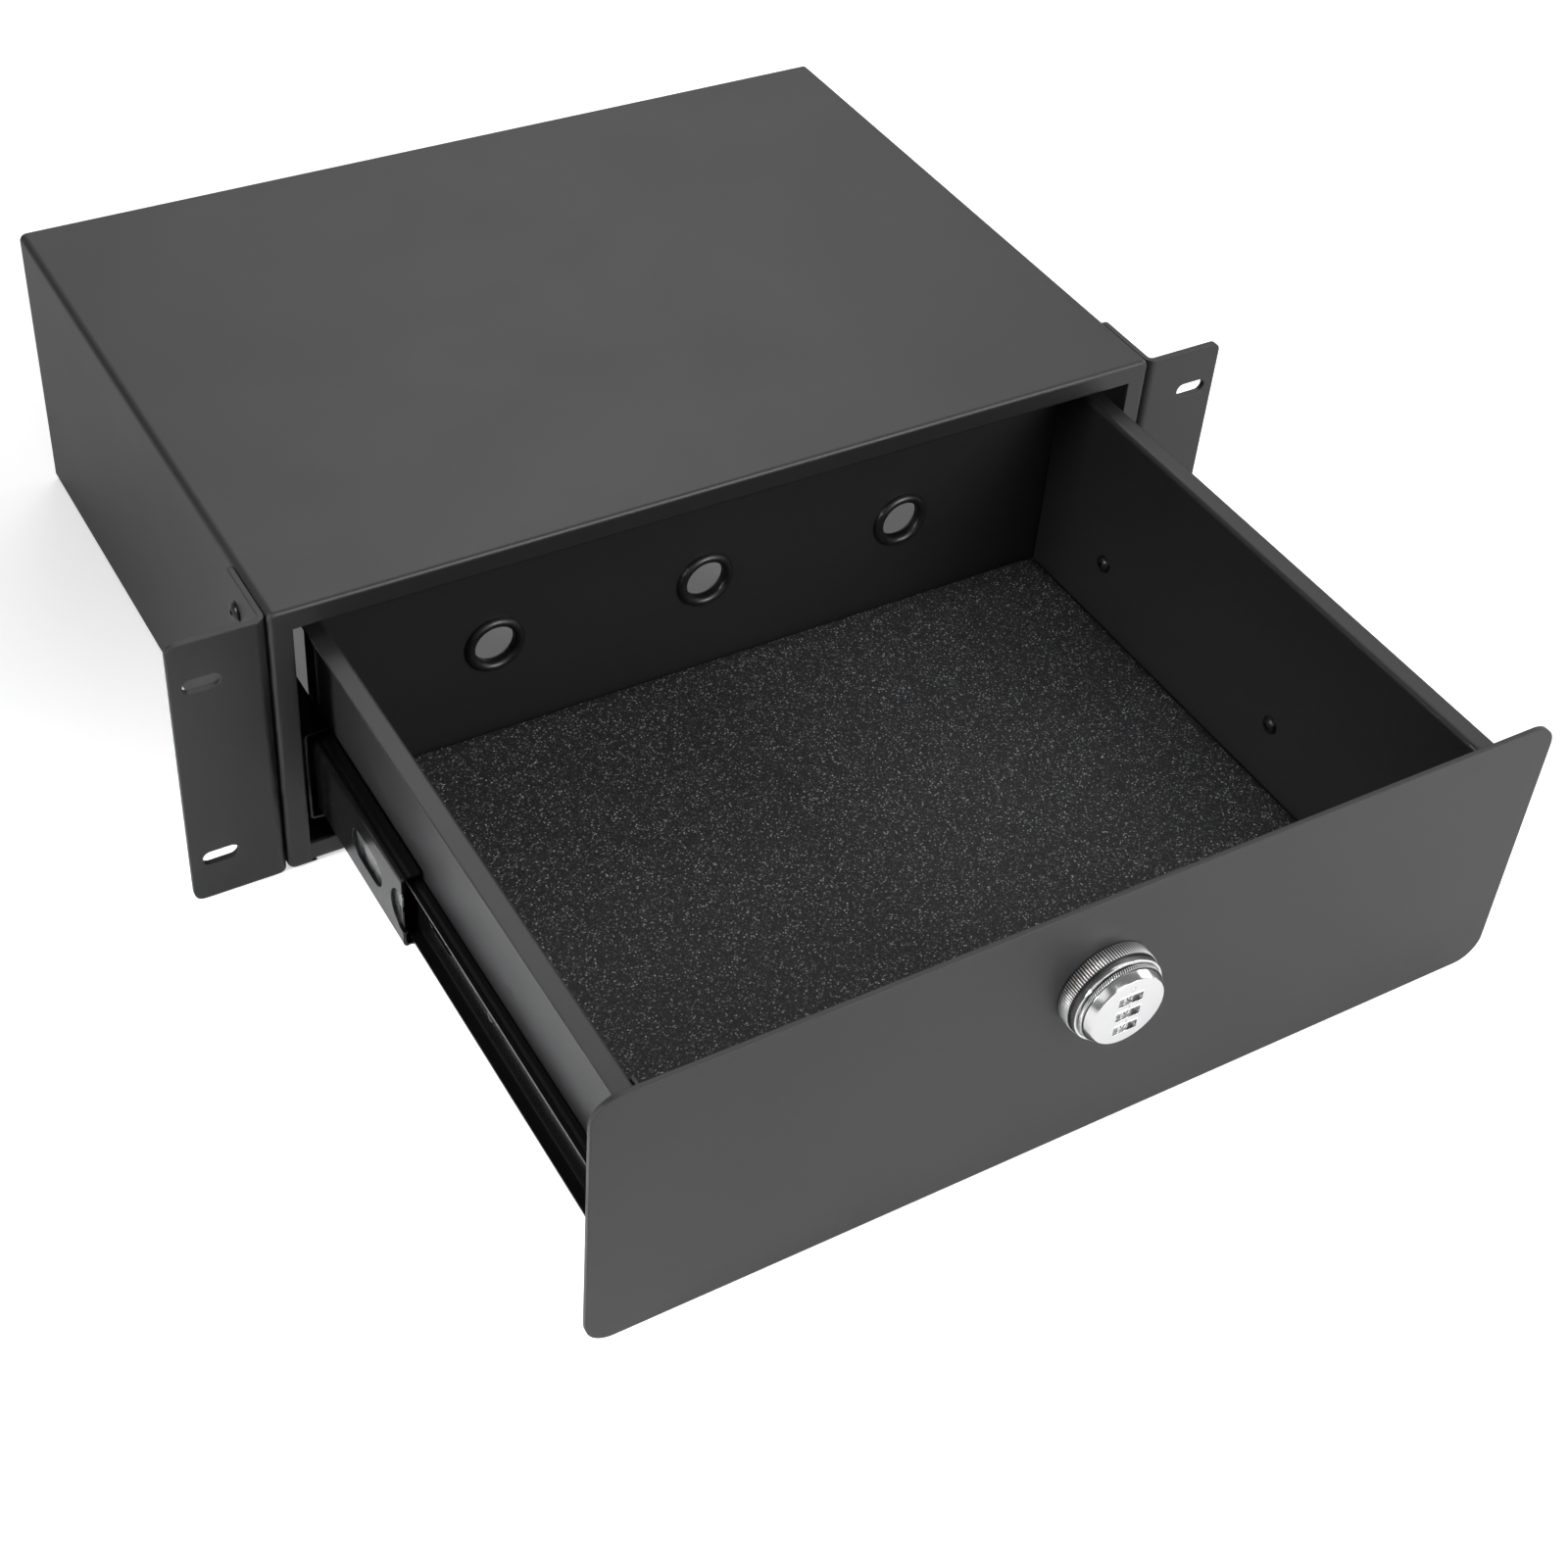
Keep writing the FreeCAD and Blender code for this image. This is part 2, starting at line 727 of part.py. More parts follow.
def lock_bore(radius, sides, near, far):
    """A cutter whose flats stay clear of a round piece of that radius turning inside it."""
    start = V(0, lock_y(near), lock_z)
    return prism(radius / math.cos(math.pi / sides), sides, far - near, start, V(0, -1, 0))


def make_lock_housing():
    body = lock_turn([(sleeve_radius, -sleeve_length), (sleeve_radius, 0), (groove_radius, 0),
                      (groove_radius, bead_back), (bead_radius, bead_back),
                      (bead_radius, bead_front - bead_chamfer), (bead_radius - bead_chamfer, bead_front)])
    body = body.fuse(knurled_collar()).removeSplitter()
    body = body.cut(lock_bore(drum_bore, lock_sides, drum_floor, bead_front + 1))
    clear = spindle_radius + spindle_clearance
    return body.cut(lock_bore(clear, spindle_sides, -sleeve_length - 1, drum_floor + 1))


def make_lock_nut():
    seat = V(0, panel_back + sheet, lock_z)
    nut = hexagon(lock_nut_width, lock_nut_thickness, seat, V(0, 1, 0))
    return nut.cut(lock_hole())


knob_back = bead_front + knob_clearance
ring_front = knob_back + knob_ring_length
drum_back = drum_floor + knob_clearance
spindle_end = -(sleeve_length + knob_clearance)
wheel_depth = knob_projection - wheel_axis_depth
window_places = [lock_z - window_drop + i * window_pitch for i in (1, 0, -1)]


def make_lock_knob():
    spindle = prism(spindle_radius, spindle_sides, drum_back - spindle_end,
                    V(0, lock_y(spindle_end), lock_z), V(0, -1, 0))
    body = lock_turn([(drum_radius, drum_back), (drum_radius, knob_back), (knob_ring_radius, knob_back),
                      (knob_ring_radius, ring_front), (barrel_radius_back, ring_front),
                      (barrel_radius_front, knob_projection)])
    half = spindle_square / 2
    square = box(-half, half, lock_y(spindle_end), lock_y(spindle_end - cam_sheet),
                 lock_z - half, lock_z + half)
    knob = body.multiFuse([spindle, square]).removeSplitter()
    seat = V(0, lock_y(spindle_end - cam_sheet), lock_z)
    knob = knob.cut(prism(screw_radius, fastener_sides, cam_screw_length, seat, V(0, -1, 0)))
    r = wheel_radius + wheel_clearance
    h = wheel_height / 2 + wheel_clearance
    for z in window_places:
        knob = knob.cut(box(-r, r, lock_y(wheel_depth + r), lock_y(wheel_depth - r), z - h, z + h))
        knob = knob.cut(box(-window_width / 2, window_width / 2, lock_y(knob_projection + 1),
                            lock_y(wheel_depth), z - window_height / 2, z + window_height / 2))
    return knob.cut(make_wheel_axle())


def axle_start():
    low = window_places[-1] - wheel_height / 2 - wheel_clearance - axle_overhang
    return V(0, lock_y(wheel_depth), low)


def axle_length():
    return 2 * window_pitch + wheel_height + 2 * wheel_clearance + 2 * axle_overhang


def make_wheel_axle():
    return prism(axle_radius, fastener_sides, axle_length(), axle_start(), V(0, 0, 1))


def make_code_wheel(z):
    """A ten-sided wheel, one flat to the window for each figure."""
    corners = []
    for i in range(wheel_faces):
        a = 2 * math.pi * (i + 0.5) / wheel_faces - math.pi / 2
        corners.append(V(wheel_radius * math.cos(a), lock_y(wheel_depth) + wheel_radius * math.sin(a),
                         z - wheel_height / 2))
    wheel = closed_face(corners).extrude(V(0, 0, wheel_height))
    start = V(0, lock_y(wheel_depth), z - wheel_height / 2 - 1)
    bore = (axle_radius + wheel_bore_clearance) / math.cos(math.pi / fastener_sides)
    return wheel.cut(prism(bore, fastener_sides, wheel_height + 2, start, V(0, 0, 1)))


cam_y = lock_y(spindle_end)
cam_tip_y = panel_back + cam_to_panel


def make_lock_cam():
    """A cranked tongue on the spindle's square, pointing to the left while the drawer is unlocked."""
    m = cam_sheet / 2
    crank_end = cam_crank_start + cam_crank_run
    path = [(cam_width / 2, cam_y + m), (-cam_crank_start, cam_y + m), (-crank_end, cam_tip_y + m),
            (-cam_length, cam_tip_y + m)]
    cam = folded_sheet(path, cam_sheet, xy(lock_z - cam_width / 2), V(0, 0, cam_width))
    half = spindle_square / 2
    cam = cam.cut(box(-half, half, cam_y - 5, cam_y + 5, lock_z - half, lock_z + half))
    ends = edges_along(cam, V(0, 1, 0), lambda p: p.x < -cam_length + 1)
    cam = cam.makeFillet(cam_tip_radius, ends)
    hub = edges_along(cam, V(0, 1, 0), lambda p: p.x > cam_width / 2 - 1)
    return cam.makeFillet(cam_hub_radius, hub)


def make_cam_screw():
    centre = V(0, cam_y + cam_sheet, lock_z)
    return button_screw(cam_screw_length, centre, V(0, -1, 0))


def build():
    os.makedirs(OUT, exist_ok=True)
    save("cabinet_shell", make_cabinet_shell())
    save("bottom_front_tie", make_bottom_tie(True))
    save("bottom_rear_tie", make_bottom_tie(False))
    save("ear_screws", *make_ear_screws())
    save("ear_nuts", *make_ear_nuts())
    for side, name in ((-1, "left"), (1, "right")):
        save("ear_" + name, make_ear(side))
        save("slide_brackets_" + name, *[make_bracket(side, y) for y in bracket_places])
        save("slide_outer_" + name, make_slide_outer(side))
        save("slide_middle_" + name, make_slide_middle(side))
        save("slide_inner_" + name, make_slide_inner(side))
        save("ball_cage_outer_" + name,
             make_cage(side, outer_cage_front, outer_cage_length, outer_cage_offset,
                       outer_ball_height, outer_raceway_offset + 2.6, outer_ball_radius,
                       outer_ball_count))
        save("ball_cage_inner_" + name,
             make_cage(side, inner_cage_front, inner_cage_length, inner_cage_offset,
                       inner_ball_height, inner_raceway_offset + 2.2, inner_ball_radius,
                       inner_ball_count))
        save("balls_outer_" + name,
             *make_balls(side, outer_cage_front, outer_cage_length, outer_raceway_offset,
                         outer_ball_height, outer_ball_radius, outer_ball_count))
        save("balls_inner_" + name,
             *make_balls(side, inner_cage_front, inner_cage_length, inner_raceway_offset,
                         inner_ball_height, inner_ball_radius, inner_ball_count))
    save("drawer_tray", make_drawer_tray())
    save("drawer_back", make_drawer_back())
    save("drawer_front_wall", make_front_wall())
    save("front_panel", make_front_panel())
    save("slide_screws", *make_slide_screws())
    save("foam_mat", make_foam_mat())
    save("cable_grommets", *[make_grommet(x, z) for x, z in cable_holes])
    save("lock_housing", make_lock_housing())
    save("lock_nut", make_lock_nut())
    save("lock_knob", make_lock_knob())
    save("wheel_axle", make_wheel_axle())
    for z, name in zip(window_places, ("top", "middle", "bottom")):
        save("code_wheel_" + name, make_code_wheel(z))
    save("lock_cam", make_lock_cam())
    save("cam_screw", make_cam_screw())


build()
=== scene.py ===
import math

import bmesh
import bpy
from bpy.props import FloatProperty, FloatVectorProperty, IntProperty, PointerProperty
from bpy.types import NodeSocket, Operator, Panel, PropertyGroup
from mathutils import Matrix, Vector, noise


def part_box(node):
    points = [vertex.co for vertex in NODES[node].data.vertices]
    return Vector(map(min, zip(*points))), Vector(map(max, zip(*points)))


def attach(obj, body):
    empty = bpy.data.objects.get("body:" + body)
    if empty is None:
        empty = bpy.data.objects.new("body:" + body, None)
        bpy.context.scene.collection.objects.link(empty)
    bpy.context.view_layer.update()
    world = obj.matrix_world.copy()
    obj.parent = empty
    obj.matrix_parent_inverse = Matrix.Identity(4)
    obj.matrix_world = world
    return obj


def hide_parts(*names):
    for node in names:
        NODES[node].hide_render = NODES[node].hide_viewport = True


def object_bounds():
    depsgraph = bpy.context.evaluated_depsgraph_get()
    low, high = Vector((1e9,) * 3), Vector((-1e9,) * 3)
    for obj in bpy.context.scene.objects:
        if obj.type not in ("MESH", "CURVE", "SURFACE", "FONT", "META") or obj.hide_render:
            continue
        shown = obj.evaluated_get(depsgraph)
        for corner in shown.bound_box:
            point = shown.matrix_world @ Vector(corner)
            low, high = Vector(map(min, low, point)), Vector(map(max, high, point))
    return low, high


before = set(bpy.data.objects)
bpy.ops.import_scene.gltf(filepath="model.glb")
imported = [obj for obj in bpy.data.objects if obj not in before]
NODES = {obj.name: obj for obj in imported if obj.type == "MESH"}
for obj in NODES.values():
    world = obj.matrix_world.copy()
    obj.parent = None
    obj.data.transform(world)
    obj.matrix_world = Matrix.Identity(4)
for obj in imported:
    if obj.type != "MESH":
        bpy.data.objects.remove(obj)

bl_info = {
    "name": "Sliding Rack Drawer",
    "version": (1, 0, 0),
    "blender": (4, 5, 0),
    "location": "View3D > Sidebar > Rack Drawer",
    "description": "Finishes and fine pieces of a three-unit rack drawer on ball-bearing slides",
    "category": "Object",
}

MM = 0.001
CAD_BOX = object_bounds()
SIDES = ("left", "right")
WHEELS = ("top", "middle", "bottom")


def linear(colour):
    """An sRGB hex colour as linear RGB."""
    parts = [int(colour[i:i + 2], 16) / 255 for i in (1, 3, 5)]
    return [c / 12.92 if c <= 0.04045 else ((c + 0.055) / 1.055) ** 2.4 for c in parts]


# Sizes and colours that a user would change

def colour_property(name, description, colour):
    return FloatVectorProperty(name=name, description=description, subtype="COLOR", min=0, max=1,
                               default=linear(colour))


def length_property(name, description, length):
    return FloatProperty(name=name, description=description, subtype="DISTANCE", unit="LENGTH",
                         default=length)


class DrawerFinishes(PropertyGroup):
    """Colours of the surfaces."""
    coat: colour_property("Powder Coat", "Colour of the coated sheet steel", "#171718")
    slide: colour_property("Slide Coat", "Colour of the coated slide members", "#070708")
    foam: colour_property("Foam", "Colour of the mat", "#19191a")
    # The foam's pale specks are painted highlights in this colour.
    speck: colour_property("Foam Specks", "Colour of the cells that catch the light", "#a8a8aa")
    rubber: colour_property("Rubber", "Colour of the grommets", "#101011")
    chrome: colour_property("Chrome", "Colour of the plated lock", "#e3e3e4")
    zinc: colour_property("Zinc", "Colour of the zinc-plated steel", "#b4b6b6")
    digit: colour_property("Figure Fill", "Colour of the paint in the figures", "#0a0a0b")


class DrawerSizes(PropertyGroup):
    """Sizes of the fine pieces that this script shapes."""
    socket_width: length_property("Screw Socket", "Width across flats of the screws' sockets", 2.5 * MM)
    collar_teeth: IntProperty(
        name="Collar Teeth", description="Teeth of the lock's fixed collar", default=110, min=12)
    ring_teeth: IntProperty(
        name="Ring Teeth", description="Teeth of the knob's narrow ring", default=120, min=12)
    tooth_depth: length_property("Tooth Depth", "Depth of the knurls", 0.42 * MM)
    digit_height: length_property("Figure Height", "Height of the figures on the code wheels", 3.3 * MM)
    foam_relief: length_property("Mat Relief", "How far the mat's top rises and falls", 0.25 * MM)
    thread_pitch: length_property("Sleeve Thread", "Pitch of the thread on the lock's sleeve", 1.0 * MM)


# Nodes

def add(tree, kind, links=None, **settings):
    """Add a node; sockets given in links are joined to it, and other values are set."""
    node = tree.nodes.new(kind)
    for key, value in settings.items():
        setattr(node, key, value)
    for key, value in (links or {}).items():
        for one in value if isinstance(value, list) else [value]:
            if isinstance(one, NodeSocket):
                tree.links.new(one, node.inputs[key])
            else:
                node.inputs[key].default_value = one
    return node


def geo(tree, kind, links=None, **settings):
    """The first output of a new geometry node."""
    return add(tree, "GeometryNode" + kind, links, **settings).outputs[0]


def maths(tree, operation, a, b=0.0):
    return add(tree, "ShaderNodeMath", {0: a, 1: b}, operation=operation).outputs[0]


def times(tree, a, b):
    return maths(tree, "MULTIPLY", a, b)


def vectors(tree, operation, links, output="Vector"):
    return add(tree, "ShaderNodeVectorMath", links, operation=operation).outputs[output]


def vector(tree, **parts):
    return add(tree, "ShaderNodeCombineXYZ", parts).outputs[0]


# Materials

def surface(name, colour, metallic, roughness, **sockets):
    """A material with one Principled shader, its even values set on the shader itself."""
    material = bpy.data.materials.new(name)
    material.use_nodes = True
    tree = material.node_tree
    shader = tree.nodes["Principled BSDF"]
    shader.inputs["Base Color"].default_value = (*colour, 1)
    shader.inputs["Metallic"].default_value = metallic
    shader.inputs["Roughness"].default_value = roughness
    for key, value in sockets.items():
        shader.inputs[key.replace("_", " ")].default_value = value
    place = add(tree, "ShaderNodeTexCoord").outputs["Object"]
    return material, tree, shader, place


def grain(tree, place, size, **sockets):
    """Noise whose lumps are about size metres across."""
    links = {"Vector": place, "Scale": 1 / size, **sockets}
    return add(tree, "ShaderNodeTexNoise", links).outputs["Fac"]


def vary(tree, value, low, high, start=0.3, end=0.7):
    """Spread a pattern between two values."""
    return add(tree, "ShaderNodeMapRange", {"Value": value, "From Min": start, "From Max": end,
                                            "To Min": low, "To Max": high}).outputs["Result"]


def roughen(tree, shader, pattern, low, high, start=0.3, end=0.7):
    """Let a pattern spread the roughness between two values."""
    tree.links.new(vary(tree, pattern, low, high, start, end), shader.inputs["Roughness"])


def tint(tree, dark, light, share):
    """A colour between two, by a pattern."""
    return add(tree, "ShaderNodeMix", {6: (*dark, 1), 7: (*light, 1), 0: share},
               data_type="RGBA").outputs[2]


def relief(tree, shader, height, depth, strength, edge=0.0):
    """Raise a pattern by depth metres, on edges that the coating has rounded to a radius."""
    links = {"Height": height, "Distance": depth, "Strength": strength}
    if edge:
        links["Normal"] = add(tree, "ShaderNodeBevel", {"Radius": edge}, samples=6).outputs["Normal"]
    bump = add(tree, "ShaderNodeBump", links)
    tree.links.new(bump.outputs["Normal"], shader.inputs["Normal"])


def powder_coated_steel(colour):
    """Black polyester powder coat, sprayed and baked: an even satin black with a fine sandy
    grain of about half a millimetre, rounded over cut edges, that greys in a low light."""
    material, tree, shader, place = surface("powder_coated_steel", colour, 0, 0.46)
    roughen(tree, shader, grain(tree, place, 60 * MM, Detail=2.0), 0.45, 0.48)
    sand = grain(tree, place, 0.55 * MM, Detail=3.0, Roughness=0.6)
    relief(tree, shader, sand, 0.08 * MM, 0.7, 1.0 * MM)
    return material


def dip_coated_slide_steel(colour):
    """Roll-formed steel with a thin baked black dip coat: deep gloss, slightly wavy along the
    roll direction, with bright lines where the bends turn to the light."""
    material, tree, shader, place = surface("dip_coated_slide_steel", colour, 0, 0.2,
                                            Specular_IOR_Level=0.3)
    drawn = add(tree, "ShaderNodeMapping", {"Vector": place, "Scale": (1, 0.02, 1)}).outputs[0]
    lines = grain(tree, drawn, 0.6 * MM, Detail=2.0)
    roughen(tree, shader, lines, 0.17, 0.22)
    relief(tree, shader, lines, 0.006 * MM, 0.3, 0.5 * MM)
    return material


def zinc_plated_steel(colour):
    """Zinc-plated and passivated steel: a soft grey metal with cloudy patches of some
    millimetres and a faint rolling grain."""
    material, tree, shader, place = surface("zinc_plated_steel", colour, 1, 0.32)
    clouds = grain(tree, place, 5 * MM, Detail=4.0)
    roughen(tree, shader, clouds, 0.24, 0.42)
    shade = tint(tree, [c * 0.8 for c in colour], colour, vary(tree, clouds, 0, 1))
    tree.links.new(shade, shader.inputs["Base Color"])
    relief(tree, shader, grain(tree, place, 0.4 * MM), 0.01 * MM, 0.3, 0.2 * MM)
    return material


def lapped_bearing_steel():
    """Ground and lapped bearing steel under a film of grease: a bright mirror, slightly
    smeared."""
    material, tree, shader, place = surface("lapped_bearing_steel", linear("#cfcfce"), 1, 0.08)
    roughen(tree, shader, grain(tree, place, 1.5 * MM, Detail=2.0), 0.05, 0.2)
    return material


def black_oxide_screw_steel():
    """Blackened screw steel: a dark oily metal whose crests are rubbed a little brighter."""
    material, tree, shader, place = surface("black_oxide_screw_steel", linear("#1b1b1d"), 0.6, 0.34)
    rub = grain(tree, place, 1.2 * MM, Detail=4.0)
    roughen(tree, shader, rub, 0.26, 0.45)
    relief(tree, shader, rub, 0.02 * MM, 0.3, 0.2 * MM)
    return material


def chrome_plated_zinc(name, roughness, lines=False):
    """Die-cast zinc, polished and chromed: a hard cool mirror. With lines, the turned sides
    keep rings of fine tool marks that draw the light out along the axis. One for each name."""
    if name in bpy.data.materials:
        return bpy.data.materials[name]
    colour = bpy.context.scene.drawer_finishes.chrome
    material, tree, shader, place = surface(name, colour, 1, roughness)
    if lines:
        rings = add(tree, "ShaderNodeMapping", {"Vector": place, "Scale": (1, 60, 1)}).outputs[0]
        marks = grain(tree, rings, 9 * MM, Detail=3.0, Roughness=0.7)
        depth, strength, edge = 0.02 * MM, 0.25, 0.12 * MM
    else:
        marks = grain(tree, place, 4 * MM, Detail=3.0)
        depth, strength, edge = 0.003 * MM, 0.15, 0.1 * MM
    roughen(tree, shader, marks, roughness * 0.7, roughness * 1.4)
    relief(tree, shader, marks, depth, strength, edge)
    return material


def chromed_knurl(root):
    """Chromed straight knurl: crests rubbed to a satin that scatters the light, over roots
    painted near black as the shade that falls in the grooves. Roots lie within the given radius."""
    colour = bpy.context.scene.drawer_finishes.chrome
    material, tree, shader, place = surface("chromed_knurl_%d" % round(root / MM), colour, 1, 0.42)
    flat = vectors(tree, "MULTIPLY", {0: place, 1: (1, 0, 1)})
    away = vectors(tree, "DISTANCE", {0: flat, 1: (0, 0, LOCK_Z)}, "Value")
    # Painted shade: the roots are coloured near black, as the shade in the grooves, and the crests keep the
    # chrome colour.
    crest = vary(tree, away, 0, 1, root, root + 0.1 * MM)
    shade = tint(tree, [c * 0.04 for c in colour], colour, crest)
    tree.links.new(shade, shader.inputs["Base Color"])
    roughen(tree, shader, grain(tree, place, 0.6 * MM, Detail=2.0), 0.36, 0.5)
    return material


def moulded_epdm_rubber(colour):
    """Moulded EPDM rubber: black with a soft broad shine and a faint bloom."""
    material, tree, shader, place = surface("moulded_epdm_rubber", colour, 0, 0.38)
    roughen(tree, shader, grain(tree, place, 3 * MM, Detail=3.0), 0.32, 0.46)
    relief(tree, shader, grain(tree, place, 0.25 * MM), 0.01 * MM, 0.3)
    return material


def closed_cell_polyethylene_foam(colour, speck):
    """Cut cross-linked polyethylene foam: matt black made of cells under a millimetre across.
    Every cut cell has its own tone at random, and pale specks on cells picked at random are painted
    highlights."""
    material, tree, shader, place = surface("closed_cell_polyethylene_foam", colour, 0, 0.7)
    cells = add(tree, "ShaderNodeTexVoronoi", {"Vector": place, "Scale": 1 / (0.75 * MM)})
    pick = add(tree, "ShaderNodeSeparateColor", {"Color": cells.outputs["Color"]})
    core = vary(tree, cells.outputs["Distance"], 1, 0, 0.2, 0.6)
    # Painted highlight: a few cells picked at random, brightest at their middles, are tinted towards the
    # pale speck colour and made glossier.
    highlight_pick = maths(tree, "POWER", pick.outputs[0], 5.0)
    painted_highlight_share = times(tree, core, highlight_pick)
    shade = tint(tree, colour, speck, painted_highlight_share)
    tone = vary(tree, pick.outputs[1], 0.25, 1.9, 0, 1)
    mottled = vectors(tree, "SCALE", {0: shade, "Scale": tone})
    tree.links.new(mottled, shader.inputs["Base Color"])
    roughen(tree, shader, painted_highlight_share, 0.75, 0.35, 0, 1)
    relief(tree, shader, cells.outputs["Distance"], 0.25 * MM, 0.7)
    return material


def wiped_in_enamel(colour):
    """Black enamel wiped into the engraved figures: smooth, with a slight sheen."""
    material, tree, shader, place = surface("wiped_in_enamel", colour, 0, 0.35)
    roughen(tree, shader, grain(tree, place, 0.5 * MM), 0.3, 0.5)
    return material


def dress(obj, material):
    """Put one material on all of an object."""
    obj.data.materials.clear()
    obj.data.materials.append(material)
    obj.data.polygons.foreach_set("material_index", [0] * len(obj.data.polygons))


def look(make, *colours):
    """The material that a function of its name makes in the user's colours, made once."""
    chosen = bpy.context.scene.drawer_finishes
    return bpy.data.materials.get(make.__name__) or make(*(getattr(chosen, key) for key in colours))


# Sizes that the pieces made here share with the solids

HEAD_RADIUS, HEAD_HEIGHT = 4.2 * MM, 2.3 * MM
SHANK_RADIUS = 2.0 * MM
NUT_WIDTH, NUT_THICKNESS = 7.0 * MM, 3.2 * MM
LOCK_NUT_WIDTH, LOCK_NUT_BORE = 28 * MM, 11 * MM
TRAY_SIDE = 177 * MM
MIDDLE_SCREW_FROM_PANEL = 115.8 * MM
BALL_ROWS = (("outer", 8, 2.0 * MM), ("inner", 7, 1.6 * MM))
GROMMET_BORE, GROMMET_LIP, BACK_SHEET = 9 * MM, 2.6 * MM, 1.2 * MM


# Node trees for pieces that repeat or are turned

def new_tree(name, **sizes):
    """A geometry node tree with its places, its named sizes and its material as inputs."""
    tree = bpy.data.node_groups.new(name, "GeometryNodeTree")
    inputs = [("Places", "Geometry", None)]
    for label, size in sizes.items():
        inputs.append((label.replace("_", " "), "Int" if isinstance(size, int) else "Float", size))
    for label, kind, size in (*inputs, ("Material", "Material", None)):
        socket = tree.interface.new_socket(label, in_out="INPUT", socket_type="NodeSocket" + kind)
        if size is not None:
            socket.default_value = size
    tree.interface.new_socket("Geometry", in_out="OUTPUT", socket_type="NodeSocketGeometry")
    return tree, add(tree, "NodeGroupInput").outputs


def close_tree(tree, given, shape):
    """End a tree in real geometry with its material."""
    real = geo(tree, "RealizeInstances", {"Geometry": shape})
    painted = geo(tree, "SetMaterial", {"Geometry": real, "Material": given["Material"]})
    add(tree, "NodeGroupOutput", {"Geometry": painted})
    return tree


def raised(tree, piece, z, **more):
    """A piece moved along its axis."""
    return geo(tree, "Transform", {"Geometry": piece, "Translation": vector(tree, Z=z), **more})


def circle(tree, corners, radius):
    return geo(tree, "CurvePrimitiveCircle", {"Resolution": corners, "Radius": radius})


def cylinder(tree, corners, radius, depth):
    return geo(tree, "MeshCylinder", {"Vertices": corners, "Radius": radius, "Depth": depth})


def ball(tree, segments, rings, radius):
    return geo(tree, "MeshUVSphere", {"Segments": segments, "Rings": rings, "Radius": radius})


def set_out(tree, given, piece):
    """End a tree in a piece on every place, its axis along the place's direction."""
    way = geo(tree, "InputNamedAttribute", {"Name": "direction"}, data_type="FLOAT_VECTOR")
    turn = add(tree, "FunctionNodeAlignRotationToVector", {"Vector": way}, axis="Z").outputs[0]
    pieces = geo(tree, "InstanceOnPoints",
                 {"Points": given["Places"], "Instance": piece, "Rotation": turn})
    return close_tree(tree, given, pieces)


def button_screw_tree():
    """Domed screws with a hexagon socket, a plain shank and a spread end."""
    tree, given = new_tree("button_screws", Head_Radius=HEAD_RADIUS, Head_Height=HEAD_HEIGHT,
                           Shank_Radius=SHANK_RADIUS, Shank_Length=8 * MM,
                           Socket_Width=2.5 * MM, End_Radius=2.0 * MM)
    steps = 9
    angle = times(tree, geo(tree, "InputIndex"), math.pi / 2 / (steps - 1) * 0.97)
    rise = times(tree, maths(tree, "SINE", angle), given["Head Height"])
    girth = times(tree, maths(tree, "COSINE", angle), given["Head Radius"])
    line = geo(tree, "MeshLine", {"Count": steps, "Offset": (0, 0, 0.1 * MM)})
    path = geo(tree, "MeshToCurve", {"Mesh": line})
    arc = geo(tree, "SetPosition", {"Geometry": path, "Position": vector(tree, Z=rise)})
    dome = geo(tree, "CurveToMesh", {"Curve": arc, "Profile Curve": circle(tree, 40, 1.0),
                                     "Scale": girth, "Fill Caps": True})
    depth = times(tree, given["Head Height"], 1.3)
    across = maths(tree, "DIVIDE", given["Socket Width"], math.sqrt(3))
    key = raised(tree, cylinder(tree, 6, across, depth), given["Head Height"])
    head = geo(tree, "MeshBoolean", {"Mesh 1": dome, "Mesh 2": key}, operation="DIFFERENCE")
    shank = cylinder(tree, 24, given["Shank Radius"], given["Shank Length"])
    low = raised(tree, shank, times(tree, given["Shank Length"], -0.5))
    tail = ball(tree, 20, 8, given["End Radius"])
    end = raised(tree, tail, times(tree, given["Shank Length"], -1.0), Scale=(1, 1, 0.45))
    whole = geo(tree, "JoinGeometry", {"Geometry": [head, low, end]})
    return set_out(tree, given, whole)


def hex_nut_tree():
    """Hexagon nuts with chamfered corners."""
    tree, given = new_tree("hex_nuts", Width=NUT_WIDTH, Thickness=NUT_THICKNESS,
                           Bore_Radius=SHANK_RADIUS)
    half = times(tree, given["Thickness"], 0.5)
    corner = maths(tree, "DIVIDE", given["Width"], math.sqrt(3))
    block = cylinder(tree, 6, corner, given["Thickness"])
    flat = times(tree, given["Width"], 0.525)
    squares = maths(tree, "ADD", maths(tree, "POWER", flat, 2.0), maths(tree, "POWER", half, 2.0))
    chamfer = ball(tree, 48, 32, maths(tree, "SQRT", squares))
    bore = cylinder(tree, 32, given["Bore Radius"], times(tree, given["Thickness"], 2.0))
    body = geo(tree, "MeshBoolean", {"Mesh 2": [block, chamfer]}, operation="INTERSECT")
    nut = geo(tree, "MeshBoolean", {"Mesh 1": body, "Mesh 2": bore}, operation="DIFFERENCE")
    return set_out(tree, given, raised(tree, nut, half))


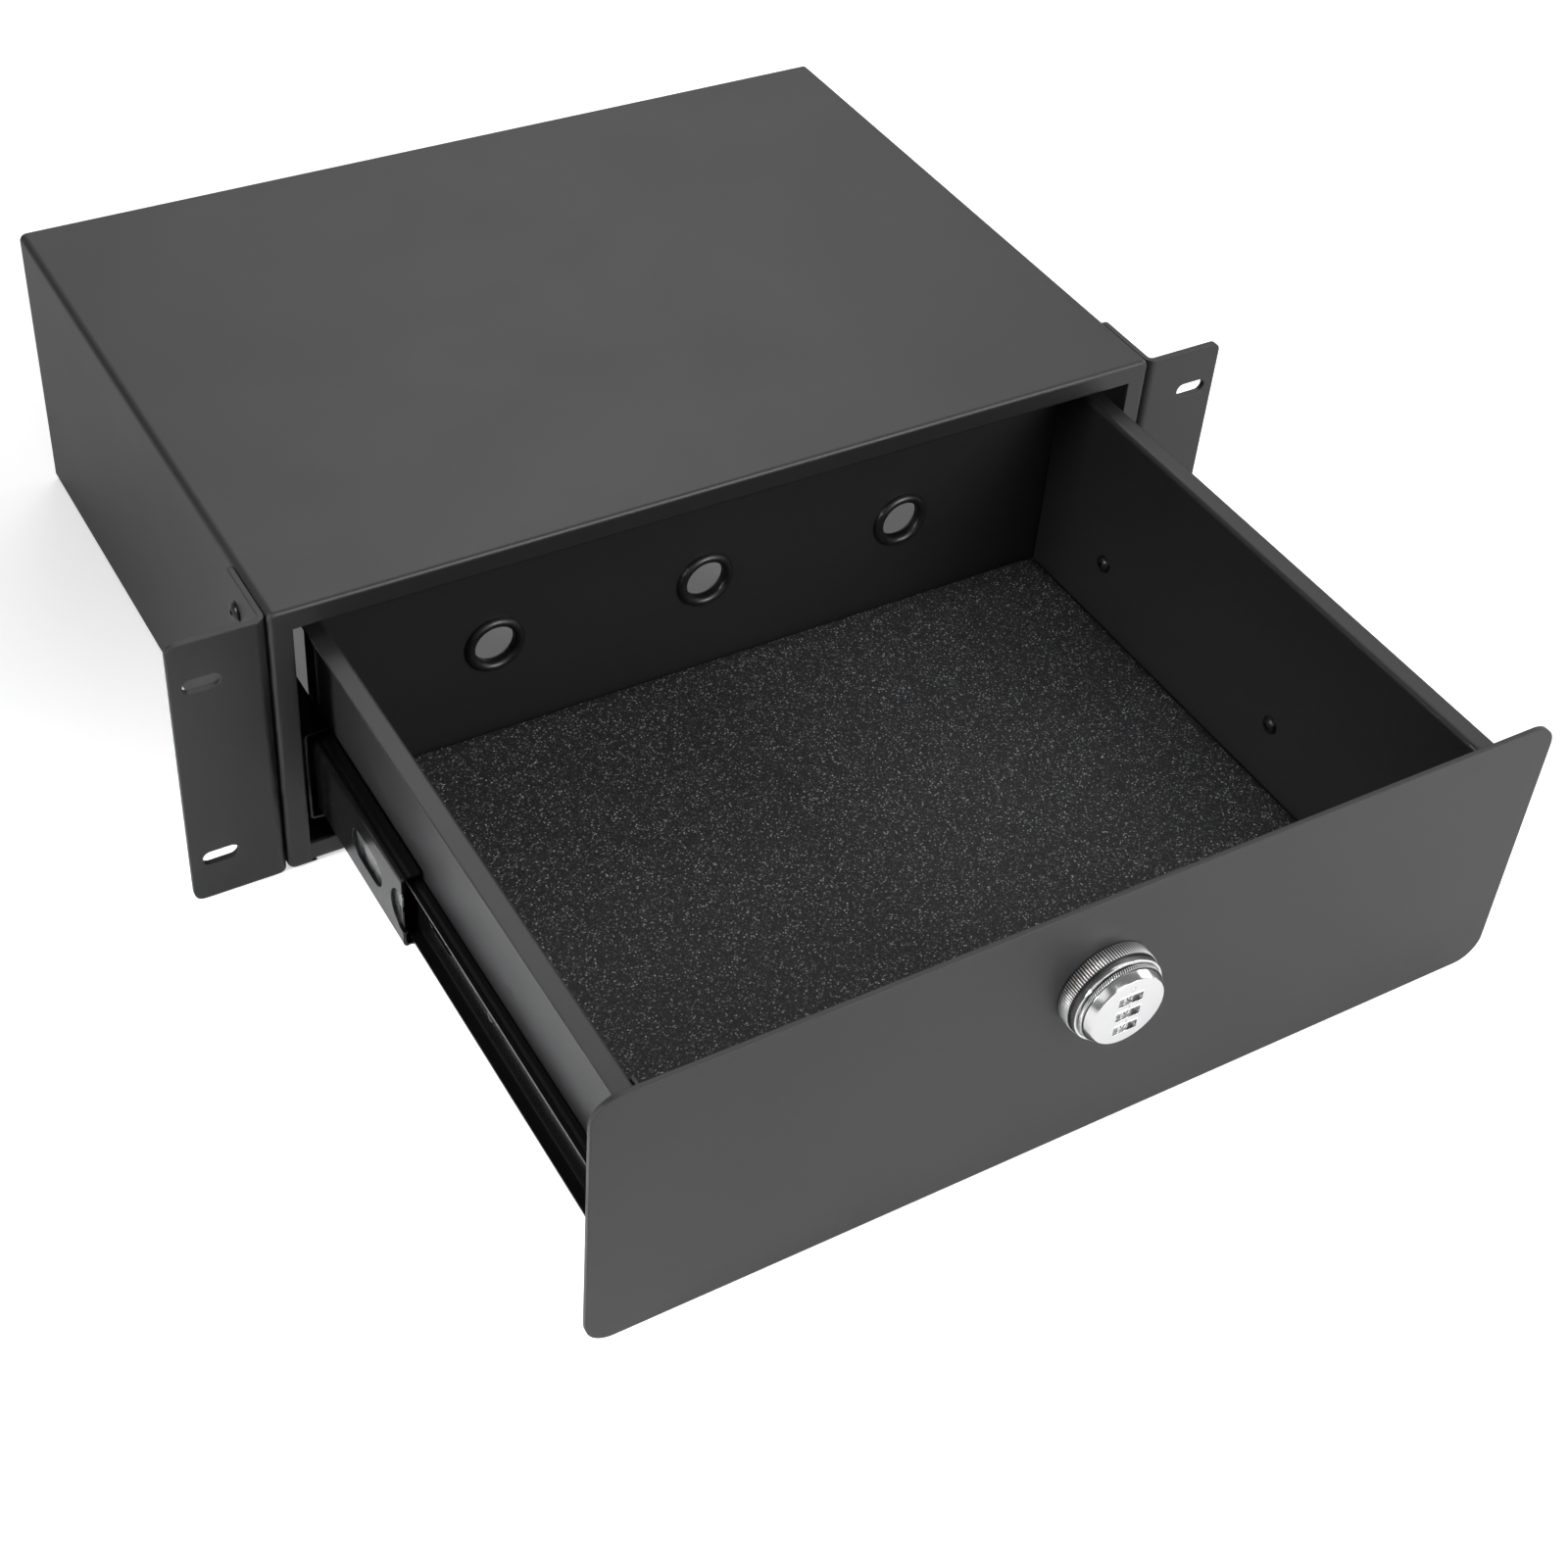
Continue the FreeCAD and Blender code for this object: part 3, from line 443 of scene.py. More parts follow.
def grommet_tree():
    """Rubber rings: a round lip on each side of the sheet."""
    tree, given = new_tree("grommets", Bore_Radius=GROMMET_BORE, Flange_Radius=13.5 * MM,
                           Lip=GROMMET_LIP, Sheet=BACK_SHEET)
    half = times(tree, maths(tree, "SUBTRACT", given["Flange Radius"], given["Bore Radius"]), 0.5)
    path = circle(tree, 64, maths(tree, "ADD", given["Bore Radius"], half))
    ring = geo(tree, "CurveToMesh", {"Curve": path, "Profile Curve": circle(tree, 28, half)})
    scale = vector(tree, X=1.0, Y=1.0, Z=maths(tree, "DIVIDE", given["Lip"], half))
    lips = [raised(tree, ring, times(tree, given["Sheet"], sign), Scale=scale) for sign in (-0.5, 0.5)]
    both = geo(tree, "JoinGeometry", {"Geometry": lips})
    smooth = geo(tree, "SetShadeSmooth", {"Geometry": both})
    return set_out(tree, given, smooth)


def ball_tree():
    """Balls in their pockets."""
    tree, given = new_tree("ball_rows", Radius=2 * MM)
    smooth = geo(tree, "SetShadeSmooth", {"Geometry": ball(tree, 18, 12, given["Radius"])})
    return set_out(tree, given, smooth)


def turned_tree():
    """A body turned or knurled along a line: each point of the line has its own radius, and
    every tooth has a flat crest and a flat root."""
    tree, given = new_tree("turned_bodies", Teeth=64, Tooth_Share=0.0, Slant=0.0)
    corners = 4.0
    outline = circle(tree, times(tree, given["Teeth"], corners), 1.0)
    place = maths(tree, "MODULO", geo(tree, "InputIndex"), corners)
    root = maths(tree, "GREATER_THAN", place, 1.5)
    reach = maths(tree, "SUBTRACT", 1.0, times(tree, root, given["Tooth Share"]))
    corner = geo(tree, "InputPosition")
    moved = vectors(tree, "SCALE", {0: corner, "Scale": reach})
    toothed = geo(tree, "SetPosition", {"Geometry": outline, "Position": moved})
    radius = geo(tree, "InputNamedAttribute", {"Name": "radius_here"}, data_type="FLOAT")
    share = geo(tree, "InputNamedAttribute", {"Name": "along"}, data_type="FLOAT")
    path = geo(tree, "MeshToCurve", {"Mesh": given["Places"]})
    tilted = geo(tree, "SetCurveTilt", {"Curve": path, "Tilt": times(tree, share, given["Slant"])})
    body = geo(tree, "CurveToMesh", {"Curve": tilted, "Profile Curve": toothed,
                                     "Scale": radius, "Fill Caps": True})
    return close_tree(tree, given, body)


def code_wheel_tree():
    """A many-sided wheel with a rib on every corner."""
    tree, given = new_tree("code_wheels", Faces=WHEEL_FACES, Radius=WHEEL_RADIUS,
                           Height=5.9 * MM, Rib=WHEEL_RIB)
    inner = maths(tree, "SUBTRACT", given["Radius"], given["Rib"])
    drum = cylinder(tree, given["Faces"], inner, given["Height"])
    middle = maths(tree, "SUBTRACT", given["Radius"], times(tree, given["Rib"], 0.5))
    corners = geo(tree, "MeshCircle", {"Vertices": given["Faces"], "Radius": middle})
    size = vector(tree, X=given["Rib"], Y=times(tree, given["Rib"], 1.4), Z=given["Height"])
    rib = geo(tree, "MeshCube", {"Size": size})
    turn = maths(tree, "DIVIDE", geo(tree, "InputIndex"), given["Faces"])
    angle = vector(tree, Z=times(tree, turn, 2 * math.pi))
    ribs = geo(tree, "InstanceOnPoints", {"Points": corners, "Instance": rib, "Rotation": angle})
    whole = geo(tree, "JoinGeometry", {"Geometry": [drum, ribs]})
    return set_out(tree, given, whole)


# Meshes and objects

def mesh_object(name, mesh):
    obj = bpy.data.objects.new(name, mesh)
    bpy.context.scene.collection.objects.link(obj)
    return obj


def built(name, build):
    """The object of a finished bmesh."""
    mesh = bpy.data.meshes.new(name)
    build.to_mesh(mesh)
    build.free()
    return mesh_object(name, mesh)


def evaluated_mesh(obj):
    """A plain copy of an object's mesh with its modifiers applied."""
    depsgraph = bpy.context.evaluated_depsgraph_get()
    return bpy.data.meshes.new_from_object(obj.evaluated_get(depsgraph))


def grow(name, tree, points, edges, attributes, **sizes):
    """Run a tree on some points once and keep the result as a plain mesh."""
    mesh = bpy.data.meshes.new(name)
    mesh.from_pydata(points, edges, [])
    for key, values in attributes.items():
        flat = isinstance(values[0], (int, float))
        layer = mesh.attributes.new(key, "FLOAT" if flat else "FLOAT_VECTOR", "POINT")
        layer.data.foreach_set("value" if flat else "vector",
                               values if flat else [c for v in values for c in v])
    obj = mesh_object(name, mesh)
    modifier = obj.modifiers.new(name, "NODES")
    modifier.node_group = tree
    for item in tree.interface.items_tree:
        key = item.name.lower().replace(" ", "_")
        if item.in_out == "INPUT" and key in sizes:
            modifier[item.identifier] = sizes[key]
    obj.data = evaluated_mesh(obj)
    obj.modifiers.clear()
    if not obj.data.polygons:
        raise RuntimeError(name + " came out empty")
    return obj


def place_on(name, tree, points, ways, **sizes):
    """Grow a tree on points, each with the direction of its piece's axis."""
    return grow(name, tree, points, (), {"direction": ways}, **sizes)


def set_down(obj, body, slot, *nodes):
    """Hang a finished piece on the empty of the body it rides on and hide the parts it stands for; the
    finish given as slot is not used.
    """
    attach(obj, body)
    if nodes:
        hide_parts(*nodes)


def smooth_over(obj, degrees):
    """Smooth shading that keeps edges sharper than an angle."""
    obj.data.polygons.foreach_set("use_smooth", [True] * len(obj.data.polygons))
    obj.data.set_sharp_from_angle(angle=math.radians(degrees))


def box_cutter(name, low, high):
    """A box between two corners."""
    build = bmesh.new()
    bmesh.ops.create_cube(build, size=1)
    size = [b - a for a, b in zip(low, high)]
    centre = [(a + b) / 2 for a, b in zip(low, high)]
    place = Matrix.Translation(centre) @ Matrix.Diagonal((*size, 1))
    bmesh.ops.transform(build, matrix=place, verts=build.verts)
    return built(name, build)


def round_cutter(name, centre, radius, height):
    """An upright cylinder."""
    build = bmesh.new()
    bmesh.ops.create_cone(build, cap_ends=True, segments=60, radius1=radius, radius2=radius, depth=height)
    bmesh.ops.translate(build, verts=build.verts, vec=centre)
    return built(name, build)


def bridge(build, pairs):
    """Faces between pairs of closed rows of corners."""
    for a, b in pairs:
        for i in range(len(a)):
            j = (i + 1) % len(a)
            build.faces.new((a[i], a[j], b[j], b[i]))
    bmesh.ops.recalc_face_normals(build, faces=build.faces)


def carve(obj, cutters):
    """Cut shapes out of a piece and leave it a plain mesh."""
    for cutter in cutters:
        modifier = obj.modifiers.new("cut", "BOOLEAN")
        modifier.operation = "DIFFERENCE"
        modifier.solver = "EXACT"
        modifier.object = cutter
    mesh = evaluated_mesh(obj)
    obj.modifiers.clear()
    obj.data = mesh
    for cutter in cutters:
        bpy.data.objects.remove(cutter)


# The lock: depths run forwards from the panel's face; lengths without MM are millimetres

LOCK_Z = sum(corner.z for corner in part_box("lock_housing")) / 2
PANEL_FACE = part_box("front_panel")[0].y
FACE_DEPTH = PANEL_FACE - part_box("lock_knob")[0].y
FRAME_RISE = 0.15
ROUND, SMALL_ROUND = 20, 6
WHEEL_RADIUS = 6.5 * MM
WHEEL_RIB = 0.22 * MM
WHEEL_FACES = 10
POCKET_GAP = 0.08 * MM
WINDOW_X, WINDOW_Z = 5, 1.95
SLEEVE_BACK, SLEEVE_START, THREAD_LENGTH = -11.0, 0.4, 9.5
THREAD_ROOT, THREAD_CREST = 10.3, 10.95

# Outlines of turned pieces: (depth, radius) pairs in millimetres
BODY = [(-0.02, 10.95), (0.0, 17.6), (5.9, 17.6), (5.92, 17.8), (6.88, 17.8), (6.9, 18.3), (7.05, 18.5),
        (8.9, 18.5), (9.08, 18.43), (9.17, 18.25), (9.2, 18.0)]
BODY_CUP = [(0.8, 15.7), (7.6, 15.7), (7.62, 17.5), (12, 17.5)]
BODY_BORE = [(-20, 4.08), (2, 4.08)]
COLLAR = [(0.0, 18.8), (0.2, 19.15), (0.4, 19.2), (5.7, 19.2), (5.95, 18.9)]
COLLAR_BORE = [(-1, 17.0), (8, 17.0)]
BARREL = [(-13.3, 3.9), (-11.3, 3.95), (-11.25, 4.0), (1.05, 4.0), (1.1, 15.4), (9.5, 15.4), (9.52, 16.2),
          (11.4, 16.35), (11.5, 16.3), (14.2, 15.5), (14.5, 15.3)]
RING = [(9.5, 16.9), (9.6, 17.15), (9.7, 17.2), (11.2, 17.2), (11.4, 16.95)]
RING_BORE = [(8, 16.0), (13, 16.0)]
COLLAR_ROOT, RING_ROOT = 18.93 * MM, 16.96 * MM


def at_depth(depth):
    return Vector((0, PANEL_FACE - depth, LOCK_Z))


def turned(name, material, outline, teeth=ROUND, tooth_depth=0.0, slant=0.0):
    """Turn an outline about the lock's axis."""
    tree = bpy.data.node_groups.get("turned_bodies") or turned_tree()
    reach = outline[-1][0] - outline[0][0]
    widest = max(r for _, r in outline) * MM
    return grow(name, tree, [at_depth(d * MM) for d, _ in outline],
                [(i, i + 1) for i in range(len(outline) - 1)],
                {"radius_here": [r * MM for _, r in outline],
                 "along": [(d - outline[0][0]) / reach for d, _ in outline]},
                teeth=teeth, tooth_share=tooth_depth / widest, slant=slant, material=material)


class RACK_OT_sheet_metal(Operator):
    """Powder coat the cabinet, the ears and the drawer"""
    bl_idname = "rack.sheet_metal"
    bl_label = "Sheet Metal"

    def execute(self, context):
        coat = look(powder_coated_steel, "coat")
        for name in ("cabinet_shell", "bottom_front_tie", "bottom_rear_tie", "ear_left", "ear_right",
                     "drawer_tray", "drawer_back", "drawer_front_wall", "front_panel"):
            dress(NODES[name], coat)
        return {"FINISHED"}


class RACK_OT_slides(Operator):
    """Finish the slides' members, their brackets and their ball cages"""
    bl_idname = "rack.slides"
    bl_label = "Slide Members"

    def execute(self, context):
        coat = look(dip_coated_slide_steel, "slide")
        zinc = look(zinc_plated_steel, "zinc")
        for side in SIDES:
            for name in ("slide_outer_", "slide_middle_", "slide_inner_", "slide_brackets_"):
                dress(NODES[name + side], coat)
            for name in ("ball_cage_outer_", "ball_cage_inner_"):
                dress(NODES[name + side], zinc)
        return {"FINISHED"}


class RACK_OT_balls(Operator):
    """Make the bearing balls in their two rows a cage"""
    bl_idname = "rack.balls"
    bl_label = "Bearing Balls"

    def execute(self, context):
        steel = look(lapped_bearing_steel)
        tree = ball_tree()
        for side in SIDES:
            for cage, count, radius in BALL_ROWS:
                node = "balls_" + cage + "_" + side
                low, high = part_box(node)
                cage_low, cage_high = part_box("ball_cage_" + cage + "_" + side)
                pitch = (cage_high.y - cage_low.y) / count
                points = [((low.x + high.x) / 2, cage_low.y + pitch * (i + 0.5), z)
                          for z in (low.z + radius, high.z - radius) for i in range(count)]
                balls = place_on("bearing_" + node, tree, points, [(0, 0, 1)] * len(points),
                                 radius=radius, material=steel)
                set_down(balls, cage + "_cage_" + side, "ball_steel", node)
        return {"FINISHED"}


class RACK_OT_fasteners(Operator):
    """Make the socket screws and the nuts"""
    bl_idname = "rack.fasteners"
    bl_label = "Screws and Nuts"

    def execute(self, context):
        steel = look(black_oxide_screw_steel)
        zinc = look(zinc_plated_steel, "zinc")
        socket = context.scene.drawer_sizes.socket_width
        screws, nuts = button_screw_tree(), hex_nut_tree()
        low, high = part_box("ear_screws")
        y, x, nut_x = (low.y + high.y) / 2, high.x - HEAD_HEIGHT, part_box("ear_nuts")[1].x
        seats = [(side, z) for side in (-1, 1) for z in (low.z + HEAD_RADIUS, high.z - HEAD_RADIUS)]
        self.fit("ear_button_screws", screws, [((side * x, y, z), (side, 0, 0)) for side, z in seats],
                 steel, "cabinet", "black_screw", "ear_screws",
                 shank_length=7.6 * MM, socket_width=socket, end_radius=1.8 * MM)
        self.fit("ear_hex_nuts", nuts, [((side * nut_x, y, z), (-side, 0, 0)) for side, z in seats],
                 steel, "cabinet", "black_screw", "ear_nuts")
        low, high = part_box("slide_screws")
        z = (low.z + high.z) / 2
        seats = [((side * TRAY_SIDE, y, z), (-side, 0, 0)) for side in (-1, 1) for y in
                 (low.y + HEAD_RADIUS, PANEL_FACE + MIDDLE_SCREW_FROM_PANEL, high.y - HEAD_RADIUS)]
        self.fit("drawer_side_screws", screws, seats, steel, "drawer", "black_screw", "slide_screws",
                 shank_length=2.4 * MM, socket_width=socket, end_radius=2.6 * MM)
        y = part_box("cam_screw")[1].y - HEAD_HEIGHT
        self.fit("cam_button_screw", screws, [((0, y, LOCK_Z), (0, 1, 0))],
                 steel, "lock_knob", "black_screw", "cam_screw",
                 shank_length=6 * MM, socket_width=socket, end_radius=1.8 * MM)
        low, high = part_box("lock_nut")
        self.fit("lock_hex_nut", nuts, [((0, low.y, LOCK_Z), (0, 1, 0))],
                 zinc, "drawer", "zinc_steel", "lock_nut",
                 width=LOCK_NUT_WIDTH, thickness=high.y - low.y, bore_radius=LOCK_NUT_BORE)
        return {"FINISHED"}

    @staticmethod
    def fit(name, tree, seats, material, body, slot, node, **sizes):
        """Fasteners at seats of a place and a direction."""
        points, ways = zip(*seats)
        set_down(place_on(name, tree, points, ways, material=material, **sizes), body, slot, node)


class RACK_OT_grommets(Operator):
    """Make the three rubber rings in the drawer's back"""
    bl_idname = "rack.grommets"
    bl_label = "Cable Grommets"

    def execute(self, context):
        rubber = look(moulded_epdm_rubber, "rubber")
        low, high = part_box("cable_grommets")
        radius = (high.z - low.z) / 2
        y = (low.y + high.y) / 2
        points = [(x, y, low.z + radius) for x in (low.x + radius, 0, high.x - radius)]
        rings = place_on("rubber_grommets", grommet_tree(), points, [(0, 1, 0)] * len(points),
                         flange_radius=radius, material=rubber)
        set_down(rings, "drawer", "rubber", "cable_grommets")
        return {"FINISHED"}


class RACK_OT_foam_mat(Operator):
    """Make the foam mat that lines the drawer's floor"""
    bl_idname = "rack.foam_mat"
    bl_label = "Foam Mat"

    def execute(self, context):
        foam = look(closed_cell_polyethylene_foam, "foam", "speck")
        low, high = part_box("foam_mat")
        step, inset, rim_drop = 6 * MM, 0.5 * MM, 0.45 * MM
        rows = []
        for a, b in ((low.x, high.x), (low.y, high.y)):
            count = round((b - a) / step)
            rows.append([a, a + inset] + [a + (b - a) * i / count for i in range(1, count)] + [b - inset, b])
        build = bmesh.new()
        grid = []
        for j, y in enumerate(rows[1]):
            line = []
            for i, x in enumerate(rows[0]):
                rim = i in (0, len(rows[0]) - 1) or j in (0, len(rows[1]) - 1)
                wave = noise.noise(Vector((x, y, 0)) * 28) + 0.5 * noise.noise(Vector((x, y, 7)) * 90)
                drop = rim_drop if rim else context.scene.drawer_sizes.foam_relief * (0.5 - 0.3 * wave)
                px, py = self.keep_inside(x, y, low, high)
                line.append(build.verts.new((px, py, high.z - drop)))
            grid.append(line)
        for near, far in zip(grid, grid[1:]):
            for i in range(len(near) - 1):
                build.faces.new((near[i], near[i + 1], far[i + 1], far[i]))
        below = bmesh.ops.extrude_face_region(build, geom=list(build.faces))["geom"]
        for vert in (v for v in below if isinstance(v, bmesh.types.BMVert)):
            vert.co.z = low.z
        bmesh.ops.remove_doubles(build, verts=build.verts, dist=0.01 * MM)
        bmesh.ops.recalc_face_normals(build, faces=build.faces)
        mat = built("foam_liner", build)
        smooth_over(mat, 50)
        dress(mat, foam)
        set_down(mat, "drawer", "foam", "foam_mat")
        return {"FINISHED"}

    @staticmethod
    def keep_inside(x, y, low, high):
        """Pull a point of the grid in to the mat's rounded rear corners and front notches."""
        corner, notch, notch_width = 6 * MM, 15.2 * MM, 1.2 * MM
        side = 1 if x > 0 else -1
        if y < low.y + notch:
            return side * min(abs(x), high.x - notch_width), y
        dx, dy = abs(x) - (high.x - corner), y - (high.y - corner)
        if dx > 0 and dy > 0:
            reach = max(dx, dy) / math.hypot(dx, dy)
            return side * (high.x - corner + dx * reach), high.y - corner + dy * reach
        return x, y


class RACK_OT_lock_housing(Operator):
    """Make the lock's fixed part: threaded sleeve, knurled collar, groove and bead"""
    bl_idname = "rack.lock_housing"
    bl_label = "Lock Housing"

    def execute(self, context):
        sizes = context.scene.drawer_sizes
        mirror = chrome_plated_zinc("chromed_die_cast_zinc", 0.07)
        pitch = sizes.thread_pitch / MM
        thread = [(SLEEVE_BACK, 10.2), (SLEEVE_BACK + SLEEVE_START, 10.9)]
        for i in range(int(THREAD_LENGTH / pitch)):
            start = SLEEVE_BACK + SLEEVE_START + pitch * i
            thread += [(start + pitch * 0.45, THREAD_ROOT), (start + pitch * 0.55, THREAD_ROOT),
                       (start + pitch * 0.98, THREAD_CREST)]
        body = turned("lock_body", mirror, thread + BODY)
        smooth_over(body, 40)
        cup = turned("lock_cup_cutter", mirror, BODY_CUP)
        bore = turned("lock_bore_cutter", mirror, BODY_BORE, teeth=SMALL_ROUND)
        carve(body, [cup, bore])
        set_down(body, "drawer", "lock_chrome", "lock_housing")
        knurl = chromed_knurl(COLLAR_ROOT)
        collar = turned("lock_collar", knurl, COLLAR, teeth=sizes.collar_teeth,
                        tooth_depth=sizes.tooth_depth)
        carve(collar, [turned("collar_cutter", mirror, COLLAR_BORE)])
        set_down(collar, "drawer", "lock_chrome")
        return {"FINISHED"}


class RACK_OT_lock_knob(Operator):
    """Make the turning knob: drum, slanted knurl, barrel, windows and their frames"""
    bl_idname = "rack.lock_knob"
    bl_label = "Lock Knob"

    def execute(self, context):
        sizes = context.scene.drawer_sizes
        brushed = chrome_plated_zinc("chromed_turned_zinc", 0.14, lines=True)
        mirror = chrome_plated_zinc("chromed_die_cast_zinc", 0.07)
        face = FACE_DEPTH / MM - FRAME_RISE
        barrel = turned("knob_barrel", brushed, BARREL + [(face - 0.08, 15.15), (face, 14.9)])
        smooth_over(barrel, 35)
        carve(barrel, self.window_cutters() + [self.triangle(face), self.slit(face)])
        barrel.data.materials.append(mirror)
        for polygon in barrel.data.polygons:
            if polygon.normal.y < -0.98 and polygon.center.y < PANEL_FACE - 14 * MM:
                polygon.material_index = 1
        set_down(barrel, "lock_knob", "lock_chrome", "lock_knob")
        knurl = chromed_knurl(RING_ROOT)
        ring = turned("knob_knurl", knurl, RING, teeth=sizes.ring_teeth,
                      tooth_depth=sizes.tooth_depth * 0.8, slant=math.radians(2.4))
        carve(ring, [turned("ring_cutter", mirror, RING_BORE)])
        set_down(ring, "lock_knob", "lock_chrome")
        frames = self.frames(face)
        dress(frames, mirror)
        smooth_over(frames, 40)
        set_down(frames, "lock_knob", "lock_chrome")
        return {"FINISHED"}

    @staticmethod
    def window_cutters():
        """A window through the face and a round pocket behind it for every wheel."""
        cutters = []
        for name in WHEELS:
            low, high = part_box("code_wheel_" + name)
            centre = (low + high) / 2
            front, back = PANEL_FACE - 16 * MM, PANEL_FACE - 6 * MM
            cutters.append(box_cutter("window", (-WINDOW_X * MM, front, centre.z - WINDOW_Z * MM),
                                      (WINDOW_X * MM, back, centre.z + WINDOW_Z * MM)))
            cutters.append(round_cutter("pocket", centre, WHEEL_RADIUS + POCKET_GAP,
                                        high.z - low.z + 0.4 * MM))
        return cutters

    @staticmethod
    def slit(face):
        """The narrow line that joins the windows, as a cutter."""
        low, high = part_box("code_wheel_bottom")[0].z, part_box("code_wheel_top")[1].z
        half, depth, end = 0.15 * MM, 0.3, 2 * MM
        return box_cutter("slit", (-half, PANEL_FACE - 16 * MM, low + end),
                          (half, PANEL_FACE - (face - depth) * MM, high - end))

    @staticmethod
    def triangle(face):
        """The outline of a small triangle that points down, as a cutter."""
        build = bmesh.new()
        rings = []
        for inset in (0.0, 0.32):
            half, top, tip = 1.45 - inset * 1.6, 12.0 - inset, 9.2 + inset * 2.2
            rings.append([(-half, top), (half, top), (0, tip)])
        loops = []
        for depth in (face + 1, face - 0.25):
            for ring in rings:
                loops.append([build.verts.new(at_depth(depth * MM) + Vector((x * MM, 0, z * MM)))
                              for x, z in ring])
        outer_front, inner_front, outer_back, inner_back = loops
        bridge(build, ((outer_front, inner_front), (inner_front, inner_back),
                       (inner_back, outer_back), (outer_back, outer_front)))
        return built("triangle", build)

    @staticmethod
    def frames(face):
        """A low rim round each window, its long sides slightly arched."""
        build = bmesh.new()
        outline = [(i - WINDOW_X, 1) for i in range(2 * WINDOW_X + 1)]
        outline += [(WINDOW_X - i, -1) for i in range(2 * WINDOW_X + 1)]
        pairs = []
        for name in WHEELS:
            low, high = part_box("code_wheel_" + name)
            centre = (low.z + high.z) / 2
            rings = []
            for width, depth in ((0.0, face - 0.4), (0.0, face + 0.1), (0.12, face + FRAME_RISE),
                                 (0.3, face + 0.12), (0.45, face - 0.05), (0.45, face - 0.4)):
                ring = []
                for x, side in outline:
                    arch = 0.25 * (1 - (x / WINDOW_X) ** 2) * min(1, width * 3)
                    out = (x == WINDOW_X) * width - (x == -WINDOW_X) * width
                    z = centre + side * (WINDOW_Z + width + arch) * MM
                    ring.append(build.verts.new(((x + out) * MM, PANEL_FACE - depth * MM, z)))
                rings.append(ring)
            pairs += zip(rings, rings[1:] + rings[:1])
        bridge(build, pairs)
        return built("window_frames", build)


class RACK_OT_code_wheels(Operator):
    """Make the three code wheels with their figures"""
    bl_idname = "rack.code_wheels"
    bl_label = "Code Wheels"

    def execute(self, context):
        satin = chrome_plated_zinc("satin_chromed_zinc", 0.55)
        paint = look(wiped_in_enamel, "digit")
        tree = code_wheel_tree()
        half_face = 180 / WHEEL_FACES
        turn = Matrix.Rotation(math.radians(-90 + half_face), 4, "Z")
        for name in WHEELS:
            low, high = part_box("code_wheel_" + name)
            centre = (low + high) / 2
            wheel = place_on("figure_wheel_" + name, tree, [centre], [(0, 0, 1)], faces=WHEEL_FACES,
                             radius=WHEEL_RADIUS, height=high.z - low.z, rib=WHEEL_RIB, material=satin)
            wheel.data.transform(Matrix.Translation(centre) @ turn @ Matrix.Translation(-centre))
            set_down(wheel, "wheel_" + name, "wheel_chrome", "code_wheel_" + name)
            height = context.scene.drawer_sizes.digit_height
            figures = self.figures("wheel_figures_" + name, centre, height)
            dress(figures, paint)
            set_down(figures, "wheel_" + name, "wheel_chrome")
        return {"FINISHED"}

    @staticmethod
    def figures(name, centre, height):
        """The figures 0 to 9, one on each face, rising towards the left of the front one."""
        joined = bmesh.new()
        raised_by, capital_share = 0.02 * MM, 0.72
        flat = (WHEEL_RADIUS - WHEEL_RIB) * math.cos(math.pi / WHEEL_FACES) + raised_by
        standing = Matrix.Rotation(math.radians(90), 4, "X")
        for figure in range(WHEEL_FACES):
            text = bpy.data.curves.new("figure", "FONT")
            text.body = str(figure)
            text.size = height / capital_share
            text.extrude = raised_by
            text.align_x = text.align_y = "CENTER"
            holder = mesh_object("figure", text)
            mesh = evaluated_mesh(holder)
            bpy.data.objects.remove(holder)
            turn = Matrix.Rotation(-figure * math.radians(360 / WHEEL_FACES), 4, "Z")
            mesh.transform(Matrix.Translation(centre) @ turn @ Matrix.Translation((0, -flat, 0)) @ standing)
            joined.from_mesh(mesh)
        return built(name, joined)


class RACK_OT_lock_inside(Operator):
    """Finish the lock's cam and the wheels' axle"""
    bl_idname = "rack.lock_inside"
    bl_label = "Cam and Axle"

    def execute(self, context):
        for name in ("lock_cam", "wheel_axle"):
            dress(NODES[name], look(zinc_plated_steel, "zinc"))
        return {"FINISHED"}


# Directions of the soft boxes that gloss mirrors, and their half angles in radians
SOFT_BOXES = (((0.48, 0.51, 0.72), 0.62), ((-0.8, -0.1, 0.6), 0.3), ((0.3, -0.9, 0.35), 0.5),
              ((0.9, -0.1, 0.3), 0.35), ((-0.6, -0.75, 0.1), 0.3), ((0.0, 1.0, 0.3), 0.4))
SOFT_EDGE = 0.08
BETWEEN_BOXES = 0.2

# Name, place, aim, size, power and spread in degrees of every lamp
MIDDLE = (0, -0.05, 0)
LAMPS = (("lamp_front_right", (0.9, -1.9, 1.1), MIDDLE, 1.2, 46, 180),
         ("lamp_front_high", (-0.2, -1.4, 1.6), MIDDLE, 1.0, 4, 180),
         ("lamp_right", (2.0, 0, 0.9), MIDDLE, 1.2, 10, 180),
         ("lamp_behind", (0.6, 1.3, 1.6), MIDDLE, 0.9, 6.5, 180),
         ("lamp_left_beam", (-0.9, -0.15, 0.3), (-0.2, -0.13, -0.04), 0.3, 0.7, 35))

# The camera's place and axes, fitted to the photograph's edges
CAMERA_PLACE = Vector((-0.43034, -0.69190, 0.66471))
CAMERA_AXES = ((0.86244, -0.50181, 0.06626), (0.29018, 0.59745, 0.74756), (-0.41472, -0.62550, 0.66088))
CAMERA_LENS = 57.704
CAMERA_SHIFT_Y = -0.05


